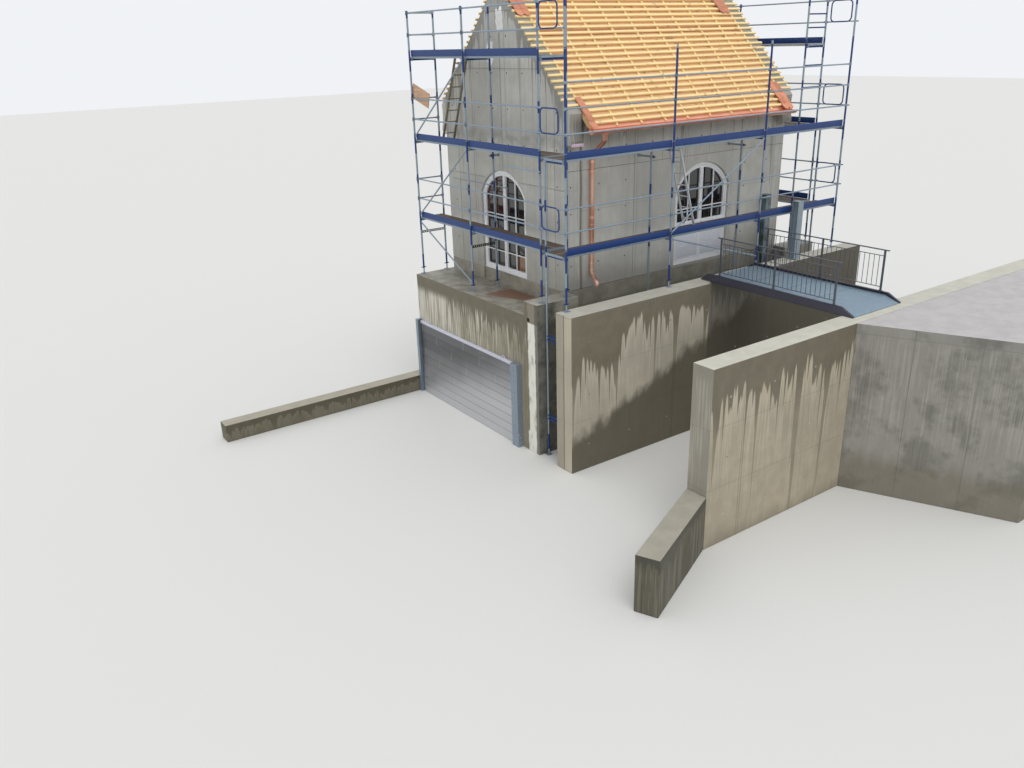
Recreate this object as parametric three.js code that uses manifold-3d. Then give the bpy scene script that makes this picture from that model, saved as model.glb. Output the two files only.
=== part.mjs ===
// Powerhouse of a small water-power plant with an enclosed water screw, as it
// stands during construction: a gabled concrete house on a concrete
// substructure, channel and bank walls, an aluminium stop-log wall over the
// outlet, a footbridge over the side channel and a tube scaffold on three sides.
//
// Millimetres, +Z up. In plan, X runs upstream along the house and Y runs from
// the side channel across the gable to the far bank. Z is 0 at the low water
// line, where every wall ends. The last lines move the plan so that the origin
// lies under the middle of the whole part.

import * as THREE from "three";
import { mergeVertices } from "three/addons/utils/BufferGeometryUtils.js";
import Module from "manifold-3d";

const wasm = await Module();
wasm.setup();

// Driving dimensions

const GAP = 0.3; // between pieces that touch
const MERGE = 2; // how far members sink into each other where they are welded
const PAST = 50; // how far a cutting solid runs past the face that it cuts

// Levels
const WALL_TOP = 3700; // channel walls, piers and the house base
const TERRACE = 3370; // ledges before both gables
const OUTLET_TOP = 2000; // head of the outlet and inlet openings
const BASE_SLAB = 250;

// House plan
const HOUSE_X0 = 850;
const HOUSE_X1 = 8250;
const HOUSE_Y0 = 1000;
const HOUSE_Y1 = 6000;
const HOUSE_WALL = 350;
const HOUSE_MID_X = (HOUSE_X0 + HOUSE_X1) / 2;
const HOUSE_MID_Y = (HOUSE_Y0 + HOUSE_Y1) / 2;

// Substructure plan
const LEDGE = 1150; // depth of the ledges before the gables
const BLOCK_X0 = HOUSE_X0 - LEDGE;
const BLOCK_X1 = HOUSE_X1 + LEDGE;
const BLOCK_Y1 = 6080;
const SIDE_WALL = 600; // side walls of the screw chamber
const PIER_Y0 = 600;
const PIER_Y1 = 1100;
const FLOOR_X0 = 4000; // the floor over the chamber starts here
const FLOOR_THICK = 250;

// Roof: heights are measured square to the slope from the tops of the battens
const PITCH = THREE.MathUtils.degToRad(46.3);
const RIDGE_Z = 10550;
const EAVES_Y = 505;
const BATTEN_THICK = 40;
const BATTEN_WIDE = 60;
const BATTEN_GAUGE = 169;
const EAVES_MARGIN = 10; // boards below the last gauge line
const COUNTER_BATTEN = 30;
const DECK_THICK = 60;
const DECK_TOP = -BATTEN_THICK - COUNTER_BATTEN;
const BATTEN_OVERHANG = 40; // past the gable faces
const GUTTER_R = 90;
const GUTTER_WALL = 8;
const GUTTER_PAST = 40; // past the ends of the roof boards
const PIPE_R = 50;
const PIPE_BEND = 60; // how far from its corner a bend starts
const PIPE_STEPS = 44;
const PIPE_X = 1560;
const PIPE_WALL = 80; // from the wall to the pipe's middle
const PIPE_DROP = 150; // straight length under the gutter
const PIPE_NECK = 480; // from the gutter down to the wall
const SHOE_OUT = 270; // from the wall to the middle of the shoe
const SHOE_LEVELS = [4050, 3880, 3790];

// The column of tiles that is laid so far
const TILE_ROWS = 5;
const TILE_LONG = 380;
const TILE_WIDE = 180;
const TILE_THICK = 15;
const TILE_NOSE = 20; // past the edge of the boards
const TILE_STEP = 12; // between one tile's face and the next
const TILE_PAST = 30; // past the end of the roof boards

// Gable ears
const EAR_OUT = 210; // past the long walls, at the foot of the ear
const EAR_TOP = 7690;
const EAR_HOLLOW = 60; // how far the face curves in below its top
const EAR_LIP = 100; // upright part of the face over its foot
const EAR_FOOT = 7020;
const EAR_CLEAR = 120; // no batten runs out lower than this over the ear

// Arched openings
const OPENING_WIDE = 1900;
const ARCH_SPRING = 5650;
const ARCH_RISE = 600;
const REVEAL = 50;
const FRAME_DEEP = 70;
const FRAME_WIDE = 120;
const MULLION = 110;
const BAR = 36;
const BAR_SET_BACK = 12; // from both faces of the frame
const GLASS = 12;
const REBATE = 30; // how far the frame covers the edge of a pane
const BAR_LEVELS = [4220, 4680, 5140, 5600];
const DOOR_MID_X = 5270;
const DOOR_SILL = 3765;
const DOOR_PANEL_TOP = 4780;

// Channel walls
const GUIDE_Y1 = -80;
const GUIDE_THICK = 540;
const GUIDE_STEP_X = 3950; // the wall is thinner upstream of this joint
const GUIDE_STEP = 90;
const GUIDE_X1 = 9960;
const WEIR_Y1 = -4120;
const WEIR_THICK = 500;
const WEIR_X1 = 11480;
const BANK_Y0 = -7743; // outer end of the abutment
const ABUTMENT_X0 = 3850; // corner of its skew face at the weir wall
const BANK_SKEW = THREE.MathUtils.degToRad(25);
const WING_LENGTH = 2600;
const WING_TOP = 1140;
const WING_THICK = 450;
const KERB_X0 = -6000;
const KERB_THICK = 400;
const KERB_TOP = 450;

// Stop logs over the outlet
const LOG_TOP = 2100;
const LOG_THICK = 60;
const LOG_Y0 = 1500;
const LOG_Y1 = 5940;
const LOG_POST_WIDE = 250;
const LOG_POST_DEEP = 150;
const LOG_POST_FAR = 110;

// Footbridge
const BRIDGE_X0 = 4050;
const BRIDGE_X1 = 5750;
const GIRDER_WIDE = 60;
const GIRDER_HIGH = 180;
const GIRDER_NOSE = 30;
const GIRDER_Y = [-4380, -4080, -430, -210];
const BRIDGE_PLATE = 15;
const BRIDGE_PLATE_TOP = 110; // above the walls
const PLATE_TOE = 60; // where the ramp's underside meets the wall
const PLATE_FOLD = 8; // how far the fold lies in under the plate
const RAIL_POSTS_Y = [-3890, -2325, -760];
const RAIL_POST = [20, 50]; // across and along the bridge
const RAIL_HIGH = 910;
const HAND_RAIL = [30, 50]; // high and wide
const HAND_RAIL_PAST = 80; // past the end posts
const FILL_RAIL = [20, 30]; // the rails that hold the balusters
const FILL_TOP = 130; // upper fill rail, below the handrail's top
const FILL_FOOT = 100; // lower fill rail, above the girder
const BALUSTER = 14;
const BALUSTER_PITCH = 120;

// Gate posts at the upstream end of the side slot
const GATE_POST = 200;
const GATE_FLANGE = 15;
const GATE_WEB = 10;
const GATE_POST_FOOT = 3000; // of the post on the house wall
const GATE_POST_TOP = 5190;
const GATE_X = 7350;
const GATE_STAGGER = 250; // the house's post stands this far upstream
const GATE_CLEAR = 20; // from the scaffold's posts

// Scaffold
const TUBE = 48;
const RAIL_TUBE = 40;
const GUARD_TUBE = 34;
const BAY = 3070;
const SCAFFOLD_WIDE = 730;
const SCAFFOLD_X0 = -80;
const SCAFFOLD_X1 = SCAFFOLD_X0 + 3 * BAY;
const SCAFFOLD_Y0 = -180;
const SLOT_ROW_Y = 520;
const GABLE_ROWS_Y = [700, 3550, 6040];
const LIFTS = [4900, 6900, 8900];
const GUARD = 500;
const TOE_BOARD = 150;
const TOE_THICK = 30;
const PLANK = 50;
const GABLE_POST_TOP = 9950;
const SIDE_POST_TOP = 9000;
const BRACE_END = 60; // from a lift to the end of a brace
const BRACE_FOOT = [200, 250]; // above the terrace and above the channel wall
const GUARD_RETURN = 240; // from the side row to the corner guards
const DECK_END = 60; // planks past the end posts
const DECK_EDGE = 20; // planks back from the outer posts
const LOG_POST_PAST = 30; // the posts stand over the logs

// Materials

function material(colour, roughness, metalness = 0) {
  return new THREE.MeshStandardMaterial({ color: colour, roughness, metalness });
}

const concrete = material(0x8c8878, 0.85);
const paleConcrete = material(0xa6a294, 0.85);
const timber = material(0xe0b77e, 0.7);
const copper = material(0xc0643c, 0.35, 1);
const clay = material(0xb5502f, 0.8);
const aluminium = material(0x9fa6ab, 0.35, 1);
const galvanised = material(0x8a969c, 0.45, 0.9);
const blueSteel = material(0x1f4f8f, 0.5, 0.4);
const darkSteel = material(0x454a55, 0.5, 0.5);
const paleSteel = material(0x8fa0ac, 0.45, 0.4);
const whiteWood = material(0xe8e9ea, 0.4);
const glass = material(0x2b2f33, 0.08);

// Solids

const plant = new THREE.Group();

function toSolid(geometry) {
  const bare = geometry.index ? geometry.toNonIndexed() : geometry.clone();
  bare.deleteAttribute("normal");
  bare.deleteAttribute("uv");
  const merged = mergeVertices(bare, 1e-3);
  return new wasm.Manifold(
    new wasm.Mesh({
      numProp: 3,
      vertProperties: new Float32Array(merged.attributes.position.array),
      triVerts: new Uint32Array(merged.index.array),
    })
  );
}

function toGeometry(solid) {
  const mesh = solid.getMesh();
  const geometry = new THREE.BufferGeometry();
  const points = [];
  for (let i = 0; i < mesh.vertProperties.length; i += mesh.numProp) {
    points.push(
      mesh.vertProperties[i],
      mesh.vertProperties[i + 1],
      mesh.vertProperties[i + 2]
    );
  }
  geometry.setAttribute("position", new THREE.Float32BufferAttribute(points, 3));
  geometry.setIndex(Array.from(mesh.triVerts));
  geometry.computeVertexNormals();
  return geometry;
}

function addMesh(name, shape, finish) {
  const geometry = shape instanceof THREE.BufferGeometry ? shape : toGeometry(shape);
  const mesh = new THREE.Mesh(geometry, finish);
  mesh.name = name;
  plant.add(mesh);
  return mesh;
}

function boxGeometry(x0, x1, y0, y1, z0, z1) {
  const geometry = new THREE.BoxGeometry(x1 - x0, y1 - y0, z1 - z0);
  return geometry.translate((x0 + x1) / 2, (y0 + y1) / 2, (z0 + z1) / 2);
}

function box(x0, x1, y0, y1, z0, z1) {
  return toSolid(boxGeometry(x0, x1, y0, y1, z0, z1));
}

function join(solids) {
  return solids.reduce((whole, next) => whole.add(next));
}

// An outline in the Y-Z plane, drawn out along X.
function alongX(outline, x0, x1) {
  const geometry = new THREE.ExtrudeGeometry(outline, {
    depth: x1 - x0,
    bevelEnabled: false,
    curveSegments: 12,
  });
  const turn = new THREE.Matrix4().makeBasis(
    new THREE.Vector3(0, 1, 0),
    new THREE.Vector3(0, 0, 1),
    new THREE.Vector3(1, 0, 0)
  );
  return geometry.applyMatrix4(turn).translate(x0, 0, 0);
}

// An outline in the X-Z plane, drawn out along Y.
function alongY(outline, y0, y1) {
  const geometry = new THREE.ExtrudeGeometry(outline, {
    depth: y1 - y0,
    bevelEnabled: false,
    curveSegments: 12,
  });
  return geometry.rotateX(Math.PI / 2).translate(0, y1, 0);
}

// An outline in plan, drawn out upwards.
function alongZ(outline, z0, z1) {
  const geometry = new THREE.ExtrudeGeometry(outline, {
    depth: z1 - z0,
    bevelEnabled: false,
  });
  return geometry.translate(0, 0, z0);
}

function polygon(points) {
  return new THREE.Shape(points.map(([u, v]) => new THREE.Vector2(u, v)));
}

// A straight square member between two points.
function strut(from, to, size) {
  const a = new THREE.Vector3(...from);
  const b = new THREE.Vector3(...to);
  const geometry = new THREE.BoxGeometry(size, size, a.distanceTo(b));
  const turn = new THREE.Quaternion().setFromUnitVectors(
    new THREE.Vector3(0, 0, 1),
    b.clone().sub(a).normalize()
  );
  const middle = a.clone().add(b).multiplyScalar(0.5);
  const place = new THREE.Matrix4().compose(middle, turn, new THREE.Vector3(1, 1, 1));
  return toSolid(geometry.applyMatrix4(place));
}

// Mirror in the plane that crosses the house at mid length or mid width.
function mirrorX(solid) {
  return solid.translate([-HOUSE_MID_X, 0, 0]).mirror([1, 0, 0]).translate([HOUSE_MID_X, 0, 0]);
}

function mirrorY(solid) {
  return solid.translate([0, -HOUSE_MID_Y, 0]).mirror([0, 1, 0]).translate([0, HOUSE_MID_Y, 0]);
}

// Height of the roof at a place across the house, above or below the batten tops.
function slopeZ(y, height) {
  const run = Math.abs(HOUSE_MID_Y - y);
  return RIDGE_Z - run * Math.tan(PITCH) + height / Math.cos(PITCH);
}

// Concrete below the house

function substructure() {
  const chamberY0 = HOUSE_Y0 + SIDE_WALL;
  const chamberY1 = BLOCK_Y1 - SIDE_WALL;
  const pitX0 = HOUSE_X0 + HOUSE_WALL;
  const block = join([
    box(BLOCK_X0, BLOCK_X1, HOUSE_Y0, BLOCK_Y1, 0, TERRACE),
    box(HOUSE_X0, HOUSE_X1, HOUSE_Y0, HOUSE_Y1, TERRACE - PAST, WALL_TOP),
    box(BLOCK_X0, HOUSE_X0 + PAST, PIER_Y0, PIER_Y1, 0, WALL_TOP),
    box(HOUSE_X1 - PAST, BLOCK_X1, PIER_Y0, PIER_Y1, 0, WALL_TOP),
  ]);
  const chamber = box(
    BLOCK_X0 - PAST, BLOCK_X1 + PAST, chamberY0, chamberY1, BASE_SLAB, OUTLET_TOP
  );
  const openZ = OUTLET_TOP - PAST;
  const pit = box(pitX0, FLOOR_X0, chamberY0, chamberY1, openZ, WALL_TOP + PAST);
  const underFloor = box(
    pitX0, HOUSE_X1 - HOUSE_WALL, chamberY0, chamberY1, openZ, WALL_TOP - FLOOR_THICK
  );
  const windowY0 = HOUSE_MID_Y - OPENING_WIDE / 2;
  const windowY1 = HOUSE_MID_Y + OPENING_WIDE / 2;
  const frontStep = box(
    HOUSE_X0 - PAST, HOUSE_X0 + REVEAL, windowY0, windowY1, TERRACE, WALL_TOP + PAST
  );
  return block
    .subtract(chamber)
    .subtract(pit)
    .subtract(underFloor)
    .subtract(frontStep)
    .subtract(mirrorX(frontStep));
}

function guideWall() {
  const y0 = GUIDE_Y1 - GUIDE_THICK;
  return join([
    box(BLOCK_X0, GUIDE_STEP_X, y0, GUIDE_Y1, 0, WALL_TOP),
    box(GUIDE_STEP_X - PAST, GUIDE_X1, y0 + GUIDE_STEP, GUIDE_Y1, 0, WALL_TOP),
  ]);
}

function bankAbutment() {
  const y1 = WEIR_Y1 - WEIR_THICK - GAP;
  const faceRun = (y1 - BANK_Y0) * Math.tan(BANK_SKEW);
  const plan = polygon([
    [ABUTMENT_X0, y1],
    [ABUTMENT_X0 + faceRun, BANK_Y0],
    [WEIR_X1, BANK_Y0],
    [WEIR_X1, y1],
  ]);
  return alongZ(plan, 0, WALL_TOP);
}

function wingWall() {
  const x1 = BLOCK_X0 - GAP;
  const y1 = WEIR_Y1;
  const run = WING_LENGTH * Math.cos(BANK_SKEW);
  const drop = WING_LENGTH * Math.sin(BANK_SKEW);
  const across = WING_THICK / Math.cos(BANK_SKEW);
  const plan = polygon([
    [x1, y1],
    [x1 - run, y1 - drop],
    [x1 - run + WING_THICK * Math.sin(BANK_SKEW), y1 - drop - WING_THICK * Math.cos(BANK_SKEW)],
    [x1, y1 - across],
  ]);
  return alongZ(plan, 0, WING_TOP);
}

// House walls

function archOutline(middle, wide, bottom, spring, rise) {
  const half = wide / 2;
  const radius = (half * half + rise * rise) / (2 * rise);
  const sweep = Math.asin(half / radius);
  const outline = new THREE.Shape();
  outline.moveTo(middle - half, bottom);
  outline.lineTo(middle + half, bottom);
  outline.lineTo(middle + half, spring);
  outline.absarc(
    middle, spring + rise - radius, radius, Math.PI / 2 - sweep, Math.PI / 2 + sweep, false
  );
  outline.closePath();
  return outline;
}

// The same arch, smaller all round by an inset.
function insetArch(middle, inset, bottom) {
  return archOutline(
    middle, OPENING_WIDE - 2 * inset, bottom, ARCH_SPRING, ARCH_RISE - inset
  );
}

function gableWall() {
  const foot = WALL_TOP + GAP;
  const topOffset = -BATTEN_THICK - GAP;
  const ridge = slopeZ(HOUSE_MID_Y, topOffset);
  const earTopY = HOUSE_MID_Y - (ridge - EAR_TOP) / Math.tan(PITCH);
  const earFootY = HOUSE_Y0 - EAR_OUT;
  const earMidZ = (EAR_TOP + EAR_FOOT) / 2;
  const across = (y) => 2 * HOUSE_MID_Y - y;
  const outline = new THREE.Shape();
  outline.moveTo(HOUSE_Y0, foot);
  outline.lineTo(HOUSE_Y1, foot);
  outline.lineTo(HOUSE_Y1, EAR_FOOT);
  outline.lineTo(across(earFootY), EAR_FOOT);
  outline.lineTo(across(earFootY), EAR_FOOT + EAR_LIP);
  outline.quadraticCurveTo(across(earTopY + EAR_HOLLOW), earMidZ, across(earTopY), EAR_TOP);
  outline.lineTo(HOUSE_MID_Y, ridge);
  outline.lineTo(earTopY, EAR_TOP);
  outline.quadraticCurveTo(earTopY + EAR_HOLLOW, earMidZ, earFootY, EAR_FOOT + EAR_LIP);
  outline.lineTo(earFootY, EAR_FOOT);
  outline.lineTo(HOUSE_Y0, EAR_FOOT);
  outline.closePath();
  const wall = toSolid(alongX(outline, HOUSE_X0, HOUSE_X0 + HOUSE_WALL));
  const opening = archOutline(
    HOUSE_MID_Y, OPENING_WIDE, foot - PAST, ARCH_SPRING, ARCH_RISE
  );
  return wall.subtract(toSolid(alongX(opening, HOUSE_X0 - PAST, HOUSE_X0 + HOUSE_WALL + PAST)));
}

function longWall() {
  const x0 = HOUSE_X0 + HOUSE_WALL + GAP;
  const x1 = HOUSE_X1 - HOUSE_WALL - GAP;
  const inner = HOUSE_Y0 + HOUSE_WALL;
  const topOffset = DECK_TOP - DECK_THICK - GAP;
  const outline = polygon([
    [HOUSE_Y0, WALL_TOP + GAP],
    [inner, WALL_TOP + GAP],
    [inner, slopeZ(inner, topOffset)],
    [HOUSE_Y0, slopeZ(HOUSE_Y0, topOffset)],
  ]);
  return toSolid(alongX(outline, x0, x1));
}

function longWallWithDoor() {
  const opening = archOutline(DOOR_MID_X, OPENING_WIDE, DOOR_SILL, ARCH_SPRING, ARCH_RISE);
  const cut = toSolid(alongY(opening, HOUSE_Y0 - PAST, HOUSE_Y0 + HOUSE_WALL + PAST));
  return longWall().subtract(cut);
}

// Windows and door: the frame is a ring with bars, the panes lie behind it.

function arched(outline, deep) {
  return toSolid(alongX(outline, 0, deep));
}

function gridFrame(middle, bottom, solidTop) {
  const outer = arched(insetArch(middle, GAP, bottom), FRAME_DEEP);
  const inside = insetArch(middle, FRAME_WIDE, bottom + FRAME_WIDE);
  const ring = outer.subtract(toSolid(alongX(inside, -PAST, FRAME_DEEP + PAST)));
  const half = OPENING_WIDE / 2;
  const top = ARCH_SPRING + ARCH_RISE;
  const barDeep0 = BAR_SET_BACK;
  const barDeep1 = FRAME_DEEP - BAR_SET_BACK;
  const quarter = (MULLION / 2 + half - FRAME_WIDE) / 2;
  const bars = [
    box(0, FRAME_DEEP, middle - MULLION / 2, middle + MULLION / 2, bottom, top),
    ...[-1, 1].map((side) =>
      box(
        barDeep0, barDeep1,
        middle + side * quarter - BAR / 2, middle + side * quarter + BAR / 2,
        bottom, top
      )
    ),
    ...BAR_LEVELS.filter((z) => z > solidTop).map((z) =>
      box(barDeep0, barDeep1, middle - half, middle + half, z - BAR / 2, z + BAR / 2)
    ),
  ];
  if (solidTop > bottom) {
    bars.push(box(0, FRAME_DEEP, middle - half, middle + half, bottom, solidTop));
  }
  return ring.add(join(bars).intersect(outer));
}

function panes(middle, bottom) {
  const outline = insetArch(middle, REBATE, bottom);
  return arched(outline, GLASS);
}

function windowPieces() {
  const x0 = HOUSE_X0 + REVEAL;
  const foot = WALL_TOP + GAP;
  return {
    frame: gridFrame(HOUSE_MID_Y, foot, 0).translate([x0, 0, 0]),
    glass: panes(HOUSE_MID_Y, foot + REBATE).translate([x0 + FRAME_DEEP + GAP, 0, 0]),
  };
}

// The door is made like the window, across the gable, and turned into the wall:
// what was Y becomes X, and what was X becomes Y.
function turnIntoWall(solid) {
  return solid.rotate([0, 0, 90]).mirror([1, 0, 0]);
}

function doorPieces() {
  const y0 = HOUSE_Y0 + REVEAL;
  const sill = DOOR_SILL + GAP;
  const frame = gridFrame(DOOR_MID_X, sill, DOOR_PANEL_TOP);
  const glazing = panes(DOOR_MID_X, DOOR_PANEL_TOP - 2 * REBATE);
  return {
    frame: turnIntoWall(frame).translate([0, y0, 0]),
    glass: turnIntoWall(glazing).translate([0, y0 + FRAME_DEEP + GAP, 0]),
  };
}

// Roof

// A point on the slope over the side channel: how far down from the ridge and
// how high above the batten tops.
function onSlope(down, height) {
  return [
    HOUSE_MID_Y - down * Math.cos(PITCH) - height * Math.sin(PITCH),
    RIDGE_Z - down * Math.sin(PITCH) + height * Math.cos(PITCH),
  ];
}

const SLOPE_LENGTH = (HOUSE_MID_Y - EAVES_Y) / Math.cos(PITCH);
const BATTEN_COUNT = Math.floor((SLOPE_LENGTH - BATTEN_WIDE) / BATTEN_GAUGE);
const BATTEN_TOP = SLOPE_LENGTH - EAVES_MARGIN - BATTEN_COUNT * BATTEN_GAUGE + BATTEN_WIDE / 2;

function battenedSlope() {
  const ridgeGap = GAP / 2 / Math.cos(PITCH);
  const underside = DECK_TOP - DECK_THICK;
  const points = [];
  const ridgeAt = (height) => ridgeGap - height * Math.tan(PITCH);
  points.push(onSlope(ridgeAt(underside), underside));
  points.push(onSlope(ridgeAt(DECK_TOP), DECK_TOP));
  for (let row = 0; row < BATTEN_COUNT; row += 1) {
    const start = BATTEN_TOP + row * BATTEN_GAUGE;
    points.push(onSlope(start, DECK_TOP));
    points.push(onSlope(start, 0));
    points.push(onSlope(start + BATTEN_WIDE, 0));
    points.push(onSlope(start + BATTEN_WIDE, DECK_TOP));
  }
  points.push(onSlope(SLOPE_LENGTH, DECK_TOP));
  points.push(onSlope(SLOPE_LENGTH, underside));
  const x0 = HOUSE_X0 - BATTEN_OVERHANG;
  const x1 = HOUSE_X1 + BATTEN_OVERHANG;
  const deckX0 = HOUSE_X0 + HOUSE_WALL + GAP;
  const slab = toSolid(alongX(polygon(points), x0, x1));
  // Over the gable walls only the battens run on; over the ears nothing does.
  const under = polygon([
    onSlope(-8 * PAST, -BATTEN_THICK),
    onSlope(-8 * PAST, -14 * PAST),
    onSlope(SLOPE_LENGTH + 4 * PAST, -14 * PAST),
    onSlope(SLOPE_LENGTH + 4 * PAST, -BATTEN_THICK),
  ]);
  const gableCut = toSolid(alongX(under, x0 - PAST, deckX0));
  const earCut = box(
    x0 - PAST, deckX0,
    EAVES_Y - 4 * PAST, HOUSE_Y0 + BATTEN_WIDE,
    EAR_FOOT, EAR_TOP + EAR_CLEAR
  );
  return slab
    .subtract(gableCut)
    .subtract(mirrorX(gableCut))
    .subtract(earCut)
    .subtract(mirrorX(earCut));
}

function gutter() {
  const [edgeY, edgeZ] = onSlope(SLOPE_LENGTH, DECK_TOP - DECK_THICK / 2);
  const middleY = edgeY - GUTTER_R - GAP / Math.cos(PITCH);
  const x0 = HOUSE_X0 + HOUSE_WALL - GUTTER_PAST;
  const x1 = HOUSE_X1 - HOUSE_WALL + GUTTER_PAST;
  const half = new THREE.Shape();
  half.absarc(middleY, edgeZ, GUTTER_R, Math.PI, 2 * Math.PI, false);
  half.closePath();
  const trough = new THREE.Shape();
  trough.absarc(middleY, edgeZ, GUTTER_R - GUTTER_WALL, 0, 2 * Math.PI, false);
  return {
    solid: toSolid(alongX(half, x0, x1)).subtract(
      toSolid(alongX(trough, x0 + GUTTER_WALL, x1 - GUTTER_WALL))
    ),
    lipY: middleY - GUTTER_R,
    middleY,
    bottomZ: edgeZ - GUTTER_R,
  };
}

// A round pipe with curved bends through a list of points.
function pipe(points, radius, bend, steps) {
  const path = new THREE.CurvePath();
  const corners = points.map((p) => new THREE.Vector3(...p));
  let from = corners[0];
  for (let i = 1; i < corners.length - 1; i += 1) {
    const corner = corners[i];
    const before = corner.clone().add(
      corners[i - 1].clone().sub(corner).normalize().multiplyScalar(bend)
    );
    const after = corner.clone().add(
      corners[i + 1].clone().sub(corner).normalize().multiplyScalar(bend)
    );
    path.add(new THREE.LineCurve3(from, before));
    path.add(new THREE.QuadraticBezierCurve3(before, corner, after));
    from = after;
  }
  path.add(new THREE.LineCurve3(from, corners[corners.length - 1]));
  const ring = new THREE.Shape();
  ring.absarc(0, 0, radius, 0, 2 * Math.PI, false);
  return new THREE.ExtrudeGeometry(ring, {
    steps,
    extrudePath: path,
    curveSegments: 4,
    bevelEnabled: false,
  });
}

function downpipe(outletY, outletZ) {
  const wallY = HOUSE_Y0 - PIPE_WALL;
  const footY = HOUSE_Y0 - SHOE_OUT;
  return toSolid(
    pipe(
      [
        [PIPE_X, outletY, outletZ - GAP],
        [PIPE_X, outletY, outletZ - PIPE_DROP],
        [PIPE_X, wallY, outletZ - PIPE_NECK],
        [PIPE_X, wallY, SHOE_LEVELS[0]],
        [PIPE_X, footY, SHOE_LEVELS[1]],
        [PIPE_X, footY, SHOE_LEVELS[2]],
      ],
      PIPE_R, PIPE_BEND, PIPE_STEPS
    )
  );
}

function eavesTiles() {
  const x0 = HOUSE_X0 + HOUSE_WALL - TILE_PAST;
  const edge = SLOPE_LENGTH + TILE_NOSE;
  const head = edge - 2 * TILE_NOSE - (TILE_ROWS - 1) * BATTEN_GAUGE - TILE_LONG / 2;
  const faces = Array.from({ length: TILE_ROWS - 1 }, (_, row) => {
    const down = edge - (row + 1) * BATTEN_GAUGE;
    return [
      onSlope(down, 2 * TILE_THICK - TILE_STEP / 2),
      onSlope(down, 2 * TILE_THICK + TILE_STEP / 2),
    ];
  });
  const outline = polygon([
    onSlope(edge, GAP),
    onSlope(edge, 2 * TILE_THICK),
    ...faces.flat(),
    onSlope(head, TILE_THICK),
    onSlope(head, GAP),
  ].reverse());
  return toSolid(alongX(outline, x0, x0 + TILE_WIDE));
}

// Footbridge

function girder(x0) {
  const z0 = WALL_TOP + GAP;
  const outline = polygon([
    [GIRDER_Y[0], z0],
    [GIRDER_Y[3], z0],
    [GIRDER_Y[3], z0 + GIRDER_NOSE],
    [GIRDER_Y[2], z0 + GIRDER_HIGH],
    [GIRDER_Y[1], z0 + GIRDER_HIGH],
    [GIRDER_Y[0], z0 + GIRDER_NOSE],
  ]);
  return alongX(outline, x0, x0 + GIRDER_WIDE);
}

function bridgeDeck() {
  const z0 = WALL_TOP + GAP;
  const z1 = WALL_TOP + BRIDGE_PLATE_TOP;
  const outline = polygon([
    [GIRDER_Y[0], z0],
    [GIRDER_Y[0] + PLATE_TOE, z0],
    [GIRDER_Y[1] + PLATE_FOLD, z1 - BRIDGE_PLATE],
    [GIRDER_Y[2] - PLATE_FOLD, z1 - BRIDGE_PLATE],
    [GIRDER_Y[3] - PLATE_TOE, z0],
    [GIRDER_Y[3], z0],
    [GIRDER_Y[3], z0 + BRIDGE_PLATE],
    [GIRDER_Y[2], z1],
    [GIRDER_Y[1], z1],
    [GIRDER_Y[0], z0 + BRIDGE_PLATE],
  ]);
  return alongX(outline, BRIDGE_X0 + GIRDER_WIDE + GAP, BRIDGE_X1 - GIRDER_WIDE - GAP);
}

function bridgeRail(x) {
  const foot = WALL_TOP + GAP + GIRDER_HIGH + GAP;
  const top = foot + RAIL_HIGH;
  const y0 = RAIL_POSTS_Y[0];
  const y1 = RAIL_POSTS_Y[2];
  const rail = (z, [high, wide], past) =>
    box(x - wide / 2, x + wide / 2, y0 - past, y1 + past, z - high, z);
  const [across, along] = RAIL_POST.map((size) => size / 2);
  const posts = RAIL_POSTS_Y.map((y) =>
    box(x - across, x + across, y - along, y + along, foot, top - MERGE)
  );
  const fillZ0 = foot + FILL_FOOT - MERGE;
  const fillZ1 = top - FILL_TOP - FILL_RAIL[0] + MERGE;
  const balusters = [];
  for (let y = y0 + BALUSTER_PITCH; y < y1 - BALUSTER; y += BALUSTER_PITCH) {
    const half = BALUSTER / 2;
    balusters.push(box(x - half, x + half, y - half, y + half, fillZ0, fillZ1));
  }
  return join([
    rail(top, HAND_RAIL, HAND_RAIL_PAST),
    rail(top - FILL_TOP, FILL_RAIL, 0),
    rail(foot + FILL_FOOT, FILL_RAIL, 0),
    ...posts,
    ...balusters,
  ]);
}

// Gate posts: rolled steel columns with an H section.

function columnSection(x, y) {
  const half = GATE_POST / 2;
  const flange = GATE_FLANGE;
  const web = GATE_WEB / 2;
  return polygon([
    [x - half, y - half],
    [x + half, y - half],
    [x + half, y - half + flange],
    [x + web, y - half + flange],
    [x + web, y + half - flange],
    [x + half, y + half - flange],
    [x + half, y + half],
    [x - half, y + half],
    [x - half, y + half - flange],
    [x - web, y + half - flange],
    [x - web, y - half + flange],
    [x - half, y - half + flange],
  ]);
}

// Scaffold

function tubeUp(x, y, z0, z1) {
  const half = TUBE / 2;
  return box(x - half, x + half, y - half, y + half, z0, z1);
}

function baseUnder(x, y) {
  const onPier = y < PIER_Y1;
  return (onPier ? WALL_TOP : TERRACE) + GAP;
}

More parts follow.
